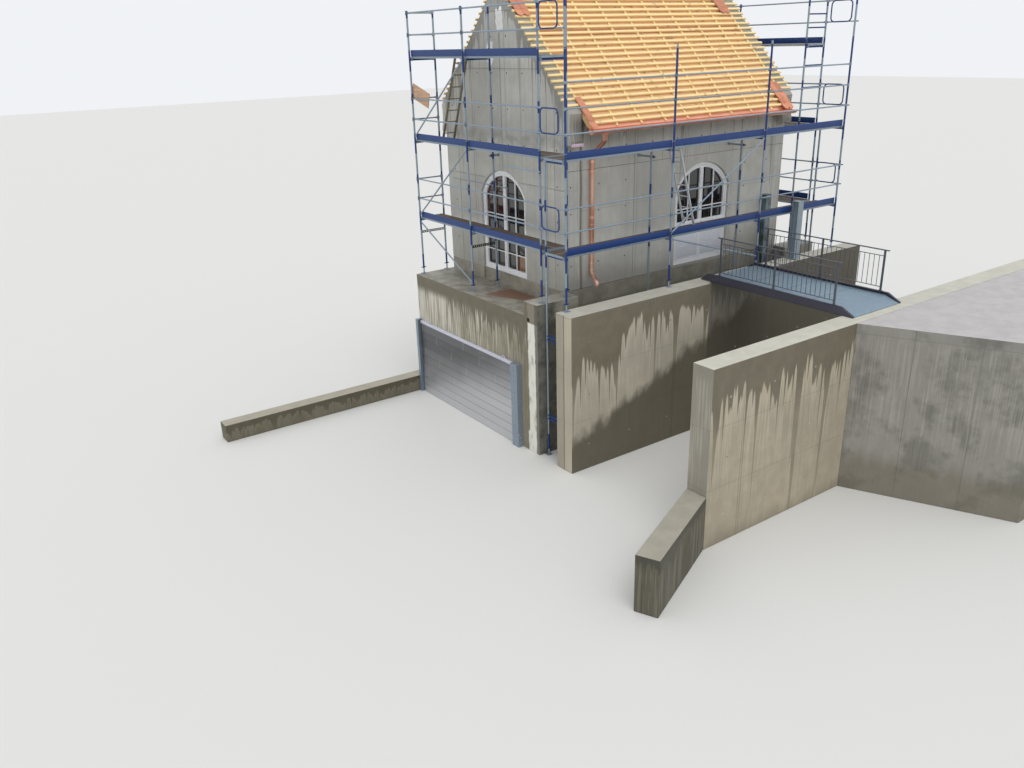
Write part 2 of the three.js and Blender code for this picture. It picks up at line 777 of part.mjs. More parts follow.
// The outer row before a gable: uprights, toe boards, guard rails and braces.
function gableLattice() {
  const x = SCAFFOLD_X0;
  const [first, middle, last] = GABLE_ROWS_Y;
  const half = RAIL_TUBE / 2;
  const members = GABLE_ROWS_Y.map((y) => tubeUp(x, y, baseUnder(x, y), GABLE_POST_TOP));
  for (const lift of LIFTS) {
    members.push(
      box(x - TOE_THICK / 2, x + TOE_THICK / 2, first, last, lift, lift + TOE_BOARD)
    );
    for (const z of [lift + GUARD, lift + 2 * GUARD]) {
      members.push(box(x - half, x + half, first, last, z - half, z + half));
    }
  }
  const braces = [
    [LIFTS[0] - 2 * BRACE_END, TERRACE + BRACE_FOOT[0]],
    [LIFTS[0] + BRACE_END, LIFTS[1] - BRACE_END],
    [LIFTS[1] + BRACE_END, LIFTS[2] - BRACE_END],
  ];
  for (const [from, to] of braces) {
    members.push(strut([x, last, from], [x, middle, to], RAIL_TUBE));
  }
  // End guards that close the corner towards the long side and lie on its posts.
  const thin = GUARD_TUBE / 2;
  const guardX = x - TUBE / 2 - thin - GAP;
  const guardY0 = SCAFFOLD_Y0 + GUARD_RETURN;
  for (const lift of LIFTS) {
    const z0 = lift + GUARD;
    const z1 = lift + 2 * GUARD;
    for (const z of [z0, z1]) {
      members.push(box(guardX - half, x, first - half, first + half, z - half, z + half));
      members.push(
        box(guardX - thin, guardX + thin, guardY0, first, z - thin, z + thin)
      );
    }
    members.push(
      box(guardX - thin, guardX + thin, guardY0, guardY0 + GUARD_TUBE, z0, z1)
    );
    // End guards at the other end, from the outer to the inner uprights.
    for (const z of [z0, z1]) {
      members.push(
        box(x, x + SCAFFOLD_WIDE - TUBE / 2 - GAP, last - thin, last + thin, z - thin, z + thin)
      );
    }
  }
  return join(members);
}

// The outer row along the side channel.
function sideLattice() {
  const y = SCAFFOLD_Y0;
  const half = RAIL_TUBE / 2;
  const foot = WALL_TOP + GAP;
  const posts = [0, 1, 2, 3].map((bay) => SCAFFOLD_X0 + bay * BAY);
  const members = posts.map((x, index) =>
    tubeUp(x, y, foot, index % 3 === 0 ? GABLE_POST_TOP : SIDE_POST_TOP)
  );
  const guards = [GUARD, 2 * GUARD];
  for (const lift of LIFTS.slice(0, 2)) {
    members.push(
      box(posts[0], posts[3], y - TOE_THICK / 2, y + TOE_THICK / 2, lift, lift + TOE_BOARD)
    );
    const heights = lift === LIFTS[1] ? [...guards, 3 * GUARD] : guards;
    for (const z of heights) {
      members.push(
        box(posts[0], posts[3], y - half, y + half, lift + z - half, lift + z + half)
      );
    }
  }
  const braces = [
    [LIFTS[0] + BRACE_END, LIFTS[1] - BRACE_END],
    [LIFTS[0] - BRACE_END, WALL_TOP + BRACE_FOOT[1]],
  ];
  for (const [from, to] of braces) {
    members.push(strut([posts[1], y, from], [posts[2], y, to], RAIL_TUBE));
  }
  return join(members);
}

// A run of planks with the cross tubes that carry it.
function gableDeck(lift) {
  const x0 = SCAFFOLD_X0 + TUBE / 2 + GAP;
  const x1 = SCAFFOLD_X0 + SCAFFOLD_WIDE - TUBE / 2 - GAP;
  const half = TUBE / 2;
  const first = GABLE_ROWS_Y[0] - DECK_END;
  const last = GABLE_ROWS_Y[2] + DECK_END;
  const planks = box(x0 + DECK_EDGE, x1, first, last, lift - PLANK, lift);
  const tubes = GABLE_ROWS_Y.map((y) =>
    box(x0, x1, y - half, y + half, lift - PLANK - TUBE, lift - PLANK + MERGE)
  );
  return join([planks, ...tubes]);
}

function sideDeck(lift) {
  const y0 = SCAFFOLD_Y0 + TUBE / 2 + GAP;
  const y1 = SLOT_ROW_Y - TUBE / 2 - GAP;
  const half = TUBE / 2;
  const planks = box(
    SCAFFOLD_X0 - DECK_END, SCAFFOLD_X1 + DECK_END, y0 + DECK_EDGE, y1, lift - PLANK, lift
  );
  const tubes = [0, 1, 2, 3].map((bay) => {
    const x = SCAFFOLD_X0 + bay * BAY;
    return box(x - half, x + half, y0, y1, lift - PLANK - TUBE, lift - PLANK + MERGE);
  });
  return join([planks, ...tubes]);
}

// Put the part together

addMesh("substructure", substructure(), concrete);
addMesh("guide_wall", guideWall(), concrete);
addMesh(
  "weir_wall",
  boxGeometry(BLOCK_X0, WEIR_X1, WEIR_Y1 - WEIR_THICK, WEIR_Y1, 0, WALL_TOP),
  concrete
);
addMesh("bank_abutment", bankAbutment(), concrete);
addMesh("wing_wall", wingWall(), concrete);
addMesh(
  "bank_kerb",
  boxGeometry(KERB_X0, 0, BLOCK_Y1 + GAP, BLOCK_Y1 + GAP + KERB_THICK, 0, KERB_TOP),
  concrete
);

const logFace = BLOCK_X0 - GAP;
const logPostTop = LOG_TOP + LOG_POST_PAST;
addMesh(
  "stop_logs",
  boxGeometry(logFace - LOG_THICK, logFace, LOG_Y0 + GAP, LOG_Y1 - GAP, 0, LOG_TOP),
  aluminium
);
addMesh(
  "stop_log_post_pier",
  boxGeometry(logFace - LOG_POST_DEEP, logFace, LOG_Y0 - LOG_POST_WIDE, LOG_Y0, 0, logPostTop),
  aluminium
);
addMesh(
  "stop_log_post_bank",
  boxGeometry(logFace - LOG_POST_DEEP, logFace, LOG_Y1, LOG_Y1 + LOG_POST_FAR, 0, logPostTop),
  aluminium
);

const gable = gableWall();
addMesh("gable_front", gable, paleConcrete);
addMesh("gable_back", mirrorX(gable), paleConcrete);
addMesh("long_wall_channel", longWallWithDoor(), paleConcrete);
addMesh("long_wall_bank", mirrorY(longWall()), paleConcrete);

const windowParts = windowPieces();
addMesh("window_front_frame", windowParts.frame, whiteWood);
addMesh("window_front_glass", windowParts.glass, glass);
addMesh("window_back_frame", mirrorX(windowParts.frame), whiteWood);
addMesh("window_back_glass", mirrorX(windowParts.glass), glass);
const door = doorPieces();
addMesh("door_frame", door.frame, whiteWood);
addMesh("door_glass", door.glass, glass);

const slope = battenedSlope();
addMesh("roof_channel", slope, timber);
addMesh("roof_bank", mirrorY(slope), timber);
const rain = gutter();
addMesh("gutter_channel", rain.solid, copper);
addMesh("gutter_bank", mirrorY(rain.solid), copper);
const spout = downpipe(rain.middleY, rain.bottomZ);
addMesh("downpipe_channel", spout, copper);
addMesh("downpipe_bank", mirrorY(spout), copper);
const tiles = eavesTiles();
addMesh("eaves_tiles_front", tiles, clay);
addMesh("eaves_tiles_back", mirrorX(tiles), clay);

addMesh("bridge_girder_outlet", girder(BRIDGE_X0), darkSteel);
addMesh("bridge_girder_inlet", girder(BRIDGE_X1 - GIRDER_WIDE), darkSteel);
addMesh("bridge_deck", bridgeDeck(), paleSteel);
addMesh("bridge_rail_outlet", bridgeRail(BRIDGE_X0 + GIRDER_WIDE / 2), darkSteel);
addMesh("bridge_rail_inlet", bridgeRail(BRIDGE_X1 - GIRDER_WIDE / 2), darkSteel);

const gatePostY = SCAFFOLD_Y0 - TUBE / 2 - GATE_CLEAR - GATE_POST / 2;
const housePostY = HOUSE_Y0 - GAP - GATE_POST / 2;
addMesh(
  "gate_post_wall",
  alongZ(columnSection(GATE_X, gatePostY), WALL_TOP + GAP, GATE_POST_TOP),
  galvanised
);
addMesh(
  "gate_post_house",
  alongZ(columnSection(GATE_X + GATE_STAGGER, housePostY), GATE_POST_FOOT, GATE_POST_TOP),
  galvanised
);

const lattice = gableLattice();
addMesh("scaffold_front_row", lattice, blueSteel);
addMesh("scaffold_back_row", mirrorX(lattice), blueSteel);
addMesh("scaffold_side_row", sideLattice(), blueSteel);
LIFTS.forEach((lift, index) => {
  const deck = gableDeck(lift);
  addMesh(`scaffold_front_deck_${index + 1}`, deck, blueSteel);
  addMesh(`scaffold_back_deck_${index + 1}`, mirrorX(deck), blueSteel);
});
LIFTS.slice(0, 2).forEach((lift, index) => {
  addMesh(`scaffold_side_deck_${index + 1}`, sideDeck(lift), blueSteel);
});
GABLE_ROWS_Y.forEach((y, index) => {
  const x = SCAFFOLD_X0 + SCAFFOLD_WIDE;
  const post = tubeUp(x, y, baseUnder(x, y), GABLE_POST_TOP);
  addMesh(`scaffold_front_inner_${index + 1}`, post, galvanised);
  addMesh(`scaffold_back_inner_${index + 1}`, mirrorX(post), galvanised);
});
[0, 1, 2, 3].forEach((bay) => {
  const post = tubeUp(SCAFFOLD_X0 + bay * BAY, SLOT_ROW_Y, 0, LIFTS[1] - PLANK);
  addMesh(`scaffold_side_inner_${bay + 1}`, post, galvanised);
});

// The bank's gutter is the outermost piece on its side.
const lipY = 2 * HOUSE_MID_Y - rain.lipY;
plant.position.set(-(KERB_X0 + WEIR_X1) / 2, -(BANK_Y0 + lipY) / 2, 0);

const part = new THREE.Group();
part.add(plant);

export default part;
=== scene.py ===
"""Dresses the packed powerhouse model: concrete, joinery, roof, copper, bridge and scaffold."""

import inspect
import math

import bmesh
import bpy
import numpy as np
from bpy.props import FloatProperty, FloatVectorProperty, IntProperty, PointerProperty
from bpy.types import Operator, Panel, PropertyGroup
from mathutils import Matrix, Vector


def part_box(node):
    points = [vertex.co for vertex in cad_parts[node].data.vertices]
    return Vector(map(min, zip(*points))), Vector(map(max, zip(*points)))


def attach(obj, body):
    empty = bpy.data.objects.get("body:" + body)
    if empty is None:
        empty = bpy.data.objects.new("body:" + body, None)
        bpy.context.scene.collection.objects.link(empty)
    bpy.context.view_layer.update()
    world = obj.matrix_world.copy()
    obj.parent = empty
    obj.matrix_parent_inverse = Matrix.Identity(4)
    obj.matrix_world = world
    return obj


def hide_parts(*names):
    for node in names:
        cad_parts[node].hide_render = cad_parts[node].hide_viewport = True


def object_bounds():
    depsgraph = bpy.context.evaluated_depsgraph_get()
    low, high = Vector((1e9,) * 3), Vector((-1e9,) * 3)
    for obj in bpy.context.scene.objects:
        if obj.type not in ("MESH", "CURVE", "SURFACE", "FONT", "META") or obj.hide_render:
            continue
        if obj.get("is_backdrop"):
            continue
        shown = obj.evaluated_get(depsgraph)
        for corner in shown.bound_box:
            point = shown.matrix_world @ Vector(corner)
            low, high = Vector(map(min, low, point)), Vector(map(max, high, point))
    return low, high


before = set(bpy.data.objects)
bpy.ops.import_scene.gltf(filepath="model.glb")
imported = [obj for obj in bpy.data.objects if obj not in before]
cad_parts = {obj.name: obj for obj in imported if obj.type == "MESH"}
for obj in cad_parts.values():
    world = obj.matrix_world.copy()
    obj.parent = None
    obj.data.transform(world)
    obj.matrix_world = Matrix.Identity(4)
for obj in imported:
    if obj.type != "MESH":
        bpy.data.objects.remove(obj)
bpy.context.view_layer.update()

bl_info = {
    "name": "Screw turbine powerhouse",
    "version": (1, 0, 0),
    "blender": (4, 5, 0),
    "location": "3D View > Sidebar > Powerhouse",
    "description": "Builds a small water-power house with its walls, footbridge and scaffold",
    "category": "Add Mesh",
}

# Plan places are measured from the line of the house's downstream and channel sides.
WEIR_LOW, WEIR_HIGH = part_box("weir_wall")
WEIR_INNER, WEIR_OUTER = -4.12, -4.62
SHIFT = np.array([WEIR_LOW.x + 0.3, WEIR_HIGH.y - WEIR_INNER, 0.0])


def plan_box(node):
    """Lowest and highest corner of a node, in plan metres."""
    low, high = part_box(node)
    return np.array(low) - SHIFT, np.array(high) - SHIFT


BLOCK_LOW, BLOCK_HIGH = plan_box("substructure")
GUIDE_LOW, GUIDE_HIGH = plan_box("guide_wall")
WALL_TOP = float(BLOCK_HIGH[2])
TERRACE = 3.37
HOUSE_X0 = float(plan_box("gable_front")[0][0])
HOUSE_X1 = float(plan_box("gable_back")[1][0])
HOUSE_Y0 = float(plan_box("long_wall_channel")[0][1])
HOUSE_Y1 = float(plan_box("long_wall_bank")[1][1])
GABLE_WALL = 0.35
ROOM_X0, ROOM_X1 = HOUSE_X0 + GABLE_WALL, HOUSE_X1 - GABLE_WALL
MID_X = (HOUSE_X0 + HOUSE_X1) / 2
MID_Y = (HOUSE_Y0 + HOUSE_Y1) / 2
PITCH = math.radians(46.3)
RIDGE_Z = 10.55
SLOPE_LENGTH = (MID_Y - 0.505) / math.cos(PITCH)
DECK_TOP = -0.07
SHORT_BATTENS = 3
OPENING_WIDE = 1.9
ARCH_SPRING = 5.65
ARCH_RISE = 0.6
ABOVE_ARCH = 6.3
REVEAL = 0.05
LEAF_Y = 0.034
BAR_LEVELS = (4.22, 4.68, 5.14, 5.60)
DOOR_X = 5.27
DOOR_SILL = 3.765
DOOR_PANEL_TOP = 4.78
PIPE_X = 1.56
RAMP_END, RAMP_TOP, LEVEL_END, BRIDGE_END = -4.38, -4.08, -0.43, -0.21
BAY = 3.07
ROW_X = -0.08
INNER_X = 0.65
SIDE_Y = -0.18
SLOT_Y = 0.52
ROWS_Y = (0.70, 3.55, 6.04)
LIFTS = (4.9, 6.9, 8.9)
# The axes: along the house, across it towards the bank, and up.
X, Y, Z = (1.0, 0.0, 0.0), (0.0, 1.0, 0.0), (0.0, 0.0, 1.0)
POSTS_X = [ROW_X + bay * BAY for bay in range(4)]
POST_TOP = 9.95
GUARDS = (0.5, 1.0)
GUARD_TUBE = 0.0165
TIE_Z = 6.62
TRANSOM_RADIUS = 0.0235
CAST_ROUGH = 0.86
# Ring settings of a member with plain ends: share of the length, step past it, and the scales of the section.
FLAT = ((0, 0, 1, 1), (1, 0, 1, 1))


def paint(code):
    """Linear colour with alpha 1 of a six-figure colour code."""
    parts = [int(code[i : i + 2], 16) / 255 for i in (0, 2, 4)]
    return tuple(c / 12.92 if c <= 0.04045 else ((c + 0.055) / 1.055) ** 2.4 for c in parts) + (1.0,)


def colour(code, name, description):
    """A colour property."""
    return FloatVectorProperty(
        name=name, description=description, subtype="COLOR", size=4, min=0, max=1, default=paint(code)
    )


def length(value, name, description, low=0.0, high=20.0):
    """A length property in metres."""
    return FloatProperty(
        name=name, description=description, default=value, min=low, max=high, unit="LENGTH", precision=4
    )


class PowerhouseConcrete(PropertyGroup):
    """Colours and sizes of the concrete."""

    pale: colour("bdb6a4", "Pale concrete", "Dry face of the channel walls")
    weir: colour("aaa08c", "Weir concrete", "Dry face of the weir wall")
    base: colour("918b78", "Base concrete", "Front of the block under the house")
    wet: colour("766f5c", "Damp concrete", "Water-stained bands and drips")
    lime: colour("d5d0c2", "Lime", "Bleached streaks and fresh strips")
    tops: colour("b9b6aa", "Wall tops", "Upper faces of the walls")
    slab: colour("bab5b5", "Abutment slab", "Fresh slab on the abutment")
    house: colour("cbcac3", "House walls", "Cast walls of the house")
    rust: colour("8a5f48", "Rust", "Stain by the window")
    edge: length(0.012, "Edge", "Width of the chamfer on cast edges")
    tie_radius: length(0.022, "Tie hole", "Radius of the plugs in the tie holes")
    tie_pitch: length(1.22, "Tie pitch", "Distance between tie holes")


class PowerhouseJoinery(PropertyGroup):
    """Colours and sizes of the windows and the door."""

    white: colour("fafbfd", "White paint", "Gloss paint on frames")
    panel: colour("e9ebf3", "Door panel", "Lower panels of the door")
    pane: colour("1a1717", "Panes", "Dark glass")
    # Colour of the warm reflection painted into the glass.
    glow: colour("4a2c22", "Painted reflection", "Warm reflection in the glass")
    frame_wide: length(0.085, "Frame", "Width of the outer frame")
    sash_wide: length(0.052, "Sash", "Width of the leaf frames")
    bar_wide: length(0.03, "Bar", "Width of the glazing bars")


class PowerhouseRoof(PropertyGroup):
    """Colours and sizes of the open roof."""

    batten: colour("ffe2a5", "Battens", "Fresh sawn battens")
    board: colour("f8cf9e", "Boards", "Roof boards under the battens")
    tile: colour("d08a6c", "Tiles", "Clay of the plain tiles")
    batten_wide: length(0.058, "Batten width", "Width of a batten")
    batten_thick: length(0.038, "Batten height", "Height of a batten")
    gauge: length(0.169, "Gauge", "Distance between battens")
    counter_wide: length(0.055, "Counter-batten width", "Width of a counter-batten")
    board_wide: length(0.165, "Board width", "Width of a roof board")
    tile_wide: length(0.178, "Tile width", "Width of a tile")
    tile_long: length(0.38, "Tile length", "Length of a tile")
    tile_thick: length(0.014, "Tile thickness", "Thickness of a tile")


class PowerhouseMetal(PropertyGroup):
    """Colours and sizes of the copper, aluminium and steel."""

    copper: colour("f6b79d", "New copper", "Bright rolled copper")
    copper_dark: colour("b9775a", "Handled copper", "Dulled copper")
    aluminium: colour("b1b2b4", "Aluminium", "Brushed stop logs")
    girder: colour("474654", "Girder paint", "Dark paint of the bridge girders")
    rail: colour("575a62", "Rail paint", "Dark paint of the bridge rails")
    plate: colour("869aa9", "Bridge plate", "Walking plate")
    zinc: colour("8d99a3", "Zinc", "Hot-dip galvanised steel")
    gutter_radius: length(0.09, "Gutter", "Radius of the half-round gutter")
    pipe_radius: length(0.05, "Downpipe", "Radius of the downpipe")
    baluster: length(0.007, "Baluster", "Radius of the bridge balusters")
    log_count: IntProperty(name="Logs", description="Number of stop logs", default=9, min=3, max=20)


class PowerhouseScaffold(PropertyGroup):
    """Colours and sizes of the scaffold."""

    blue: colour("0f3775", "Blue paint", "Painted lengths and toe boards")
    worn: colour("4872a9", "Worn paint", "Scuffed paint")
    zinc: colour("93a2af", "Zinc", "Galvanised tube")
    plank: colour("6d5d4c", "Planks", "Weathered deck planks")
    ladder: colour("d4d8dc", "Ladder", "Pale ladder")
    tube: length(0.0241, "Tube", "Radius of the uprights")
    rail: length(0.0175, "Rail", "Radius of the guard rails")
    toe_high: length(0.15, "Toe board", "Height of the toe boards")
    toe_thick: length(0.028, "Toe board thickness", "Thickness of the toe boards")


class PowerhouseStage(PropertyGroup):
    """Floor, light and camera."""

    floor: colour("d9d8d4", "Floor", "Plain pale floor")
    sky: FloatProperty(name="Sky", description="Strength of the even light", default=0.92, min=0, max=5)
    sun: FloatProperty(name="Key light", description="Strength of the soft key light", default=0.9, min=0, max=10)
    lens: FloatProperty(name="Lens", description="Focal length in millimetres", default=30.41, min=5, max=200)


GROUPS = {
    part.__name__.replace("Powerhouse", "powerhouse_").lower(): part
    for part in (
        PowerhouseConcrete, PowerhouseJoinery, PowerhouseRoof, PowerhouseMetal, PowerhouseScaffold, PowerhouseStage
    )
}


# Surfaces


def rows(x, y, z):
    """Points of three parts, each an array or one number."""
    return np.stack(np.broadcast_arrays(x, y, z), -1)


def unit(vectors):
    """Each row divided by its own length."""
    vectors = np.atleast_2d(np.asarray(vectors, float))
    return vectors / np.maximum(np.linalg.norm(vectors, axis=1, keepdims=True), 1e-12)


def arc(radius, a):
    """Points (r cos a, r sin a) at the angles a."""
    return np.stack([radius * np.cos(a), radius * np.sin(a)], 1)


def circle(radius, sides=12):
    """Points round a circle at equal steps, counter-clockwise."""
    return arc(radius, np.arange(sides) * 2 * math.pi / sides)


def oblong(wide, high, radius=0.004, steps=2):
    """A rectangle about the origin whose corners are arcs of the given radius."""
    radius = min(radius, wide / 2.01, high / 2.01)
    a = (np.arange(steps + 1) / steps + np.arange(4)[:, None]) * math.pi / 2
    u = np.array([1, -1, -1, 1])[:, None] * (wide / 2 - radius) + radius * np.cos(a)
    v = np.array([1, 1, -1, -1])[:, None] * (high / 2 - radius) + radius * np.sin(a)
    return np.stack([u.ravel(), v.ravel()], 1)


def rings_faces(rings, sides, loop=False):
    """Quads between neighbouring rings of equal point count, with a face over each end."""
    j = np.arange(sides)
    k = (j + 1) % sides
    i = np.arange(rings if loop else rings - 1)[:, None]
    n = (i + 1) % rings
    quads = np.stack([i * sides + j, i * sides + k, n * sides + k, n * sides + j], 2).reshape(-1, 4)
    return [quads] if loop else [quads, j[::-1][None], (rings - 1) * sides + j[None]]


def both_ends(settings):
    """Ring settings of a whole member from those of its first end: step inwards and the scales of the section."""
    return [(0, step, u, v) for step, u, v in settings] + [(1, -step, u, v) for step, u, v in settings[::-1]]


class Shell:
    """Points and faces of one piece in plan metres, with a finish number and a tone for each member."""

    def __init__(self):
        self.points = []
        self.blocks = []
        self.finishes = []
        self.tones = []
        self.count = 0

    def add(self, points, blocks, finish=0, tone=0.5):
        """Adds points (n, 3) and blocks of faces that number them."""
        points = np.asarray(points, float).reshape(-1, 3)
        for block in blocks:
            block = np.asarray(block, int)
            self.blocks.append(block + self.count)
            self.finishes.append(np.full(len(block), finish, np.int32))
        self.points.append(points)
        self.tones.append(np.broadcast_to(np.asarray(tone, float), (len(points),)))
        self.count += len(points)

    def add_many(self, points, blocks, per, finish, tone):
        """Adds like members of the same number of points each, whose faces repeat from one to the next."""
        steps = np.arange(len(points))[:, None, None] * per
        self.add(points, [(steps + block[None]).reshape(-1, block.shape[1]) for block in blocks], finish, tone)

    def bars(self, starts, ends, profile, finish=0, rings=None, up=Z, tones=None, chamfer=0.002):
        """Straight members: start + t * along + u * side + v * over, with the profile (u, v) scaled at each ring."""
        a, b = np.broadcast_arrays(*(np.atleast_2d(np.asarray(places, float)) for places in (starts, ends)))
        span = np.linalg.norm(b - a, axis=1)
        along = unit(b - a)
        side = unit(np.cross(np.broadcast_to(np.asarray(up, float), along.shape), along))
        over = np.cross(along, side)
        if rings is None:
            small = 1 - 2 * chamfer / np.maximum(np.ptp(profile, axis=0), 4 * chamfer)
            rings = both_ends([(0, *small), (chamfer, 1, 1)])
        rings = np.asarray(rings, float)
        reach = span[:, None] * rings[:, 0] + rings[:, 1]
        u = rings[:, 2][:, None] * profile[:, 0]
        v = rings[:, 3][:, None] * profile[:, 1]
        points = a[:, None, None] + along[:, None, None] * reach[:, :, None, None]
        points = points + side[:, None, None] * u[None, :, :, None] + over[:, None, None] * v[None, :, :, None]
        per = len(rings) * len(profile)
        tone = 0.5 if tones is None else np.repeat(np.asarray(tones, float), per)
        self.add_many(points, rings_faces(len(rings), len(profile)), per, finish, tone)

    def block(self, starts, ends, wide, high, finish=0, up=Z, edge=0.003, steps=1, tones=None):
        """Straight members of rectangular section: wide across and high along up, with eased edges and ends."""
        self.bars(starts, ends, oblong(wide, high, edge, steps), finish, None, up, tones)

    def tubes(self, starts, ends, radius, finish=0, sides=12, hollow=0.0):
        """Round members, whose ends are hollow to the given depth."""
        along = unit(np.atleast_2d(np.asarray(ends, float)) - np.asarray(starts, float))
        near = [(hollow, 0.86), (0, 0.86), (0, 0.98), (0.001, 1)]
        rings = both_ends([(step, r, r) for step, r in near]) if hollow else None
        up = np.where(np.abs(along[:, 2:3]) > 0.9, X, Z)
        self.bars(starts, ends, circle(radius, sides), finish, rings, up)

    def sweep(self, path, profile, up, finish=0, loop=False):
        """The profile (u, v) carried along a path that lies in the plane square to up, mitred at each corner."""
        path = np.asarray(path, float)
        ahead = unit(np.roll(path, -1, 0) - path)
        behind = unit(path - np.roll(path, 1, 0))
        if not loop:
            ahead[-1] = behind[-1]
            behind[0] = ahead[0]
        along = unit(ahead + behind)
        stretch = 1 / np.maximum(np.einsum("ij,ij->i", along, ahead), 0.2)
        over = np.broadcast_to(np.asarray(up, float), along.shape)
        side = unit(np.cross(over, along)) * stretch[:, None]
        points = path[:, None] + side[:, None] * profile[:, :1] + over[:, None] * profile[:, 1:]
        self.add(points, rings_faces(len(path), len(profile), loop), finish)

    def turned(self, places, axis, stations, finish=0, sides=14):
        """Turned pieces: stations are (height, radius) pairs along the axis from each place."""
        places = np.atleast_2d(np.asarray(places, float))
        axis = unit(axis)[0]
        helper = X if abs(axis[0]) < 0.9 else Y
        self.bars(places, places + axis, circle(1.0, sides), finish, [(0, h, r, r) for h, r in stations], helper)

    def mirrored(self, axis, middle):
        """The same shell seen in a mirror across one axis, with its faces turned outwards again."""
        twin = Shell()
        mirror, shift = np.ones(3), np.zeros(3)
        mirror[axis], shift[axis] = -1, 2 * middle
        twin.points = [points * mirror + shift for points in self.points]
        twin.blocks = [block[:, ::-1] for block in self.blocks]
        twin.finishes, twin.tones, twin.count = list(self.finishes), list(self.tones), self.count
        return twin

    def piece(self, name, slot, finishes, covers=(), sharp=32):
        """Makes the object, hangs it on the frame and hides the nodes that it stands for."""
        mesh = bpy.data.meshes.new(name)
        points = np.concatenate(self.points) + SHIFT
        faces = [corners for block in self.blocks for corners in block.tolist()]
        mesh.from_pydata(points.tolist(), [], faces)
        for finish in finishes:
            mesh.materials.append(finish)
        mesh.polygons.foreach_set("material_index", np.concatenate(self.finishes))
        tone = mesh.attributes.new("tone", "FLOAT", "POINT")
        tone.data.foreach_set("value", np.concatenate(self.tones).astype(np.float32))
        mesh.shade_smooth()
        mesh.set_sharp_from_angle(angle=math.radians(sharp))
        return settle(bpy.data.objects.new(name, mesh), slot, covers)


def settle(piece, slot, covers=()):
    """Links a finished object, rides it on the part and lets it stand for nodes."""
    bpy.context.scene.collection.objects.link(piece)
    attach(piece, "root")
    if covers:
        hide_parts(*covers)
    return piece


def dressed(node, slot, finishes, edge):
    """A merged copy of a node with flat faces joined and a narrow chamfer on every cast edge."""
    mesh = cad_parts[node].data.copy()
    mesh.name = node + "_cast"
    work = bmesh.new()
    work.from_mesh(mesh)
    bmesh.ops.remove_doubles(work, verts=work.verts, dist=2e-5)
    bmesh.ops.dissolve_limit(
        work, angle_limit=math.radians(0.5), verts=work.verts, edges=work.edges, delimit={"NORMAL"}
    )
    work.to_mesh(mesh)
    work.free()
    mesh.materials.clear()
    for finish in finishes:
        mesh.materials.append(finish)
    mesh.shade_flat()
    made = settle(bpy.data.objects.new(mesh.name, mesh), slot, (node,))
    bevel = made.modifiers.new("edge", "BEVEL")
    bevel.width = edge
    bevel.segments = 2
    bevel.limit_method = "ANGLE"
    bevel.angle_limit = math.radians(30)


def on_slope(side, x, down, height):
    """Slope point: down from the ridge along the pitch and height square to it. side is -1 or 1 across the ridge."""
    y = MID_Y + side * (down * math.cos(PITCH) + height * math.sin(PITCH))
    return rows(x, y, RIDGE_Z - down * math.sin(PITCH) + height * math.cos(PITCH))


def slope_normal(side):
    """Unit vector square to a slope, pointing out."""
    return np.array([0.0, side * math.sin(PITCH), math.cos(PITCH)])


def arch_path(half, bottom, rise, steps=18):
    """Closed arch outline (u, z): up the right side, over a circle arc of the given rise, down the left side."""
    radius = (half * half + rise * rise) / (2 * rise)
    a = np.linspace(1, -1, steps) * math.asin(min(1.0, half / radius))
    crown = np.stack([radius * np.sin(a), ARCH_SPRING + rise - radius + radius * np.cos(a)], 1)
    return np.concatenate([[[-half, bottom], [half, bottom]], crown])


def arch_height(offset, half, rise):
    """Height of the arch line at a distance from its middle."""
    radius = (half * half + rise * rise) / (2 * rise)
    return ARCH_SPRING + rise - radius + math.sqrt(max(radius * radius - offset * offset, 0.0))


def rounded_path(points, radius, steps=5):
    """A path whose inner corners are quadratic arcs that start and end at radius from the corner."""
    points = np.asarray(points, float)
    whole = [points[:1]]
    t = np.linspace(0, 1, steps + 1)[:, None]
    for before, corner, after in zip(points[:-2], points[1:-1], points[2:]):
        a = corner + unit(before - corner)[0] * radius
        b = corner + unit(after - corner)[0] * radius
        whole.append((1 - t) ** 2 * a + 2 * t * (1 - t) * corner + t**2 * b)
    whole.append(points[-1:])
    return np.concatenate(whole)


# Finishes


def arithmetic(operation, turned=False):
    """A method that puts a math node between two values, the second one first if turned."""
    if turned:
        return lambda self, other: self.mixer.math(operation, other, self)
    return lambda self, other: self.mixer.math(operation, self, other)


class Value:
    """A number, place or colour that nodes work out. A sign between two numbers adds a math node."""

    __array_ufunc__ = None

    def __init__(self, mixer, socket):
        self.mixer, self.socket = mixer, socket

    __add__ = __radd__ = arithmetic("ADD")
    __mul__ = __rmul__ = arithmetic("MULTIPLY")
    __sub__, __rsub__ = arithmetic("SUBTRACT"), arithmetic("SUBTRACT", True)
    __truediv__, __pow__ = arithmetic("DIVIDE"), arithmetic("POWER")

    def __abs__(self):
        return self.mixer.math("ABSOLUTE", self)


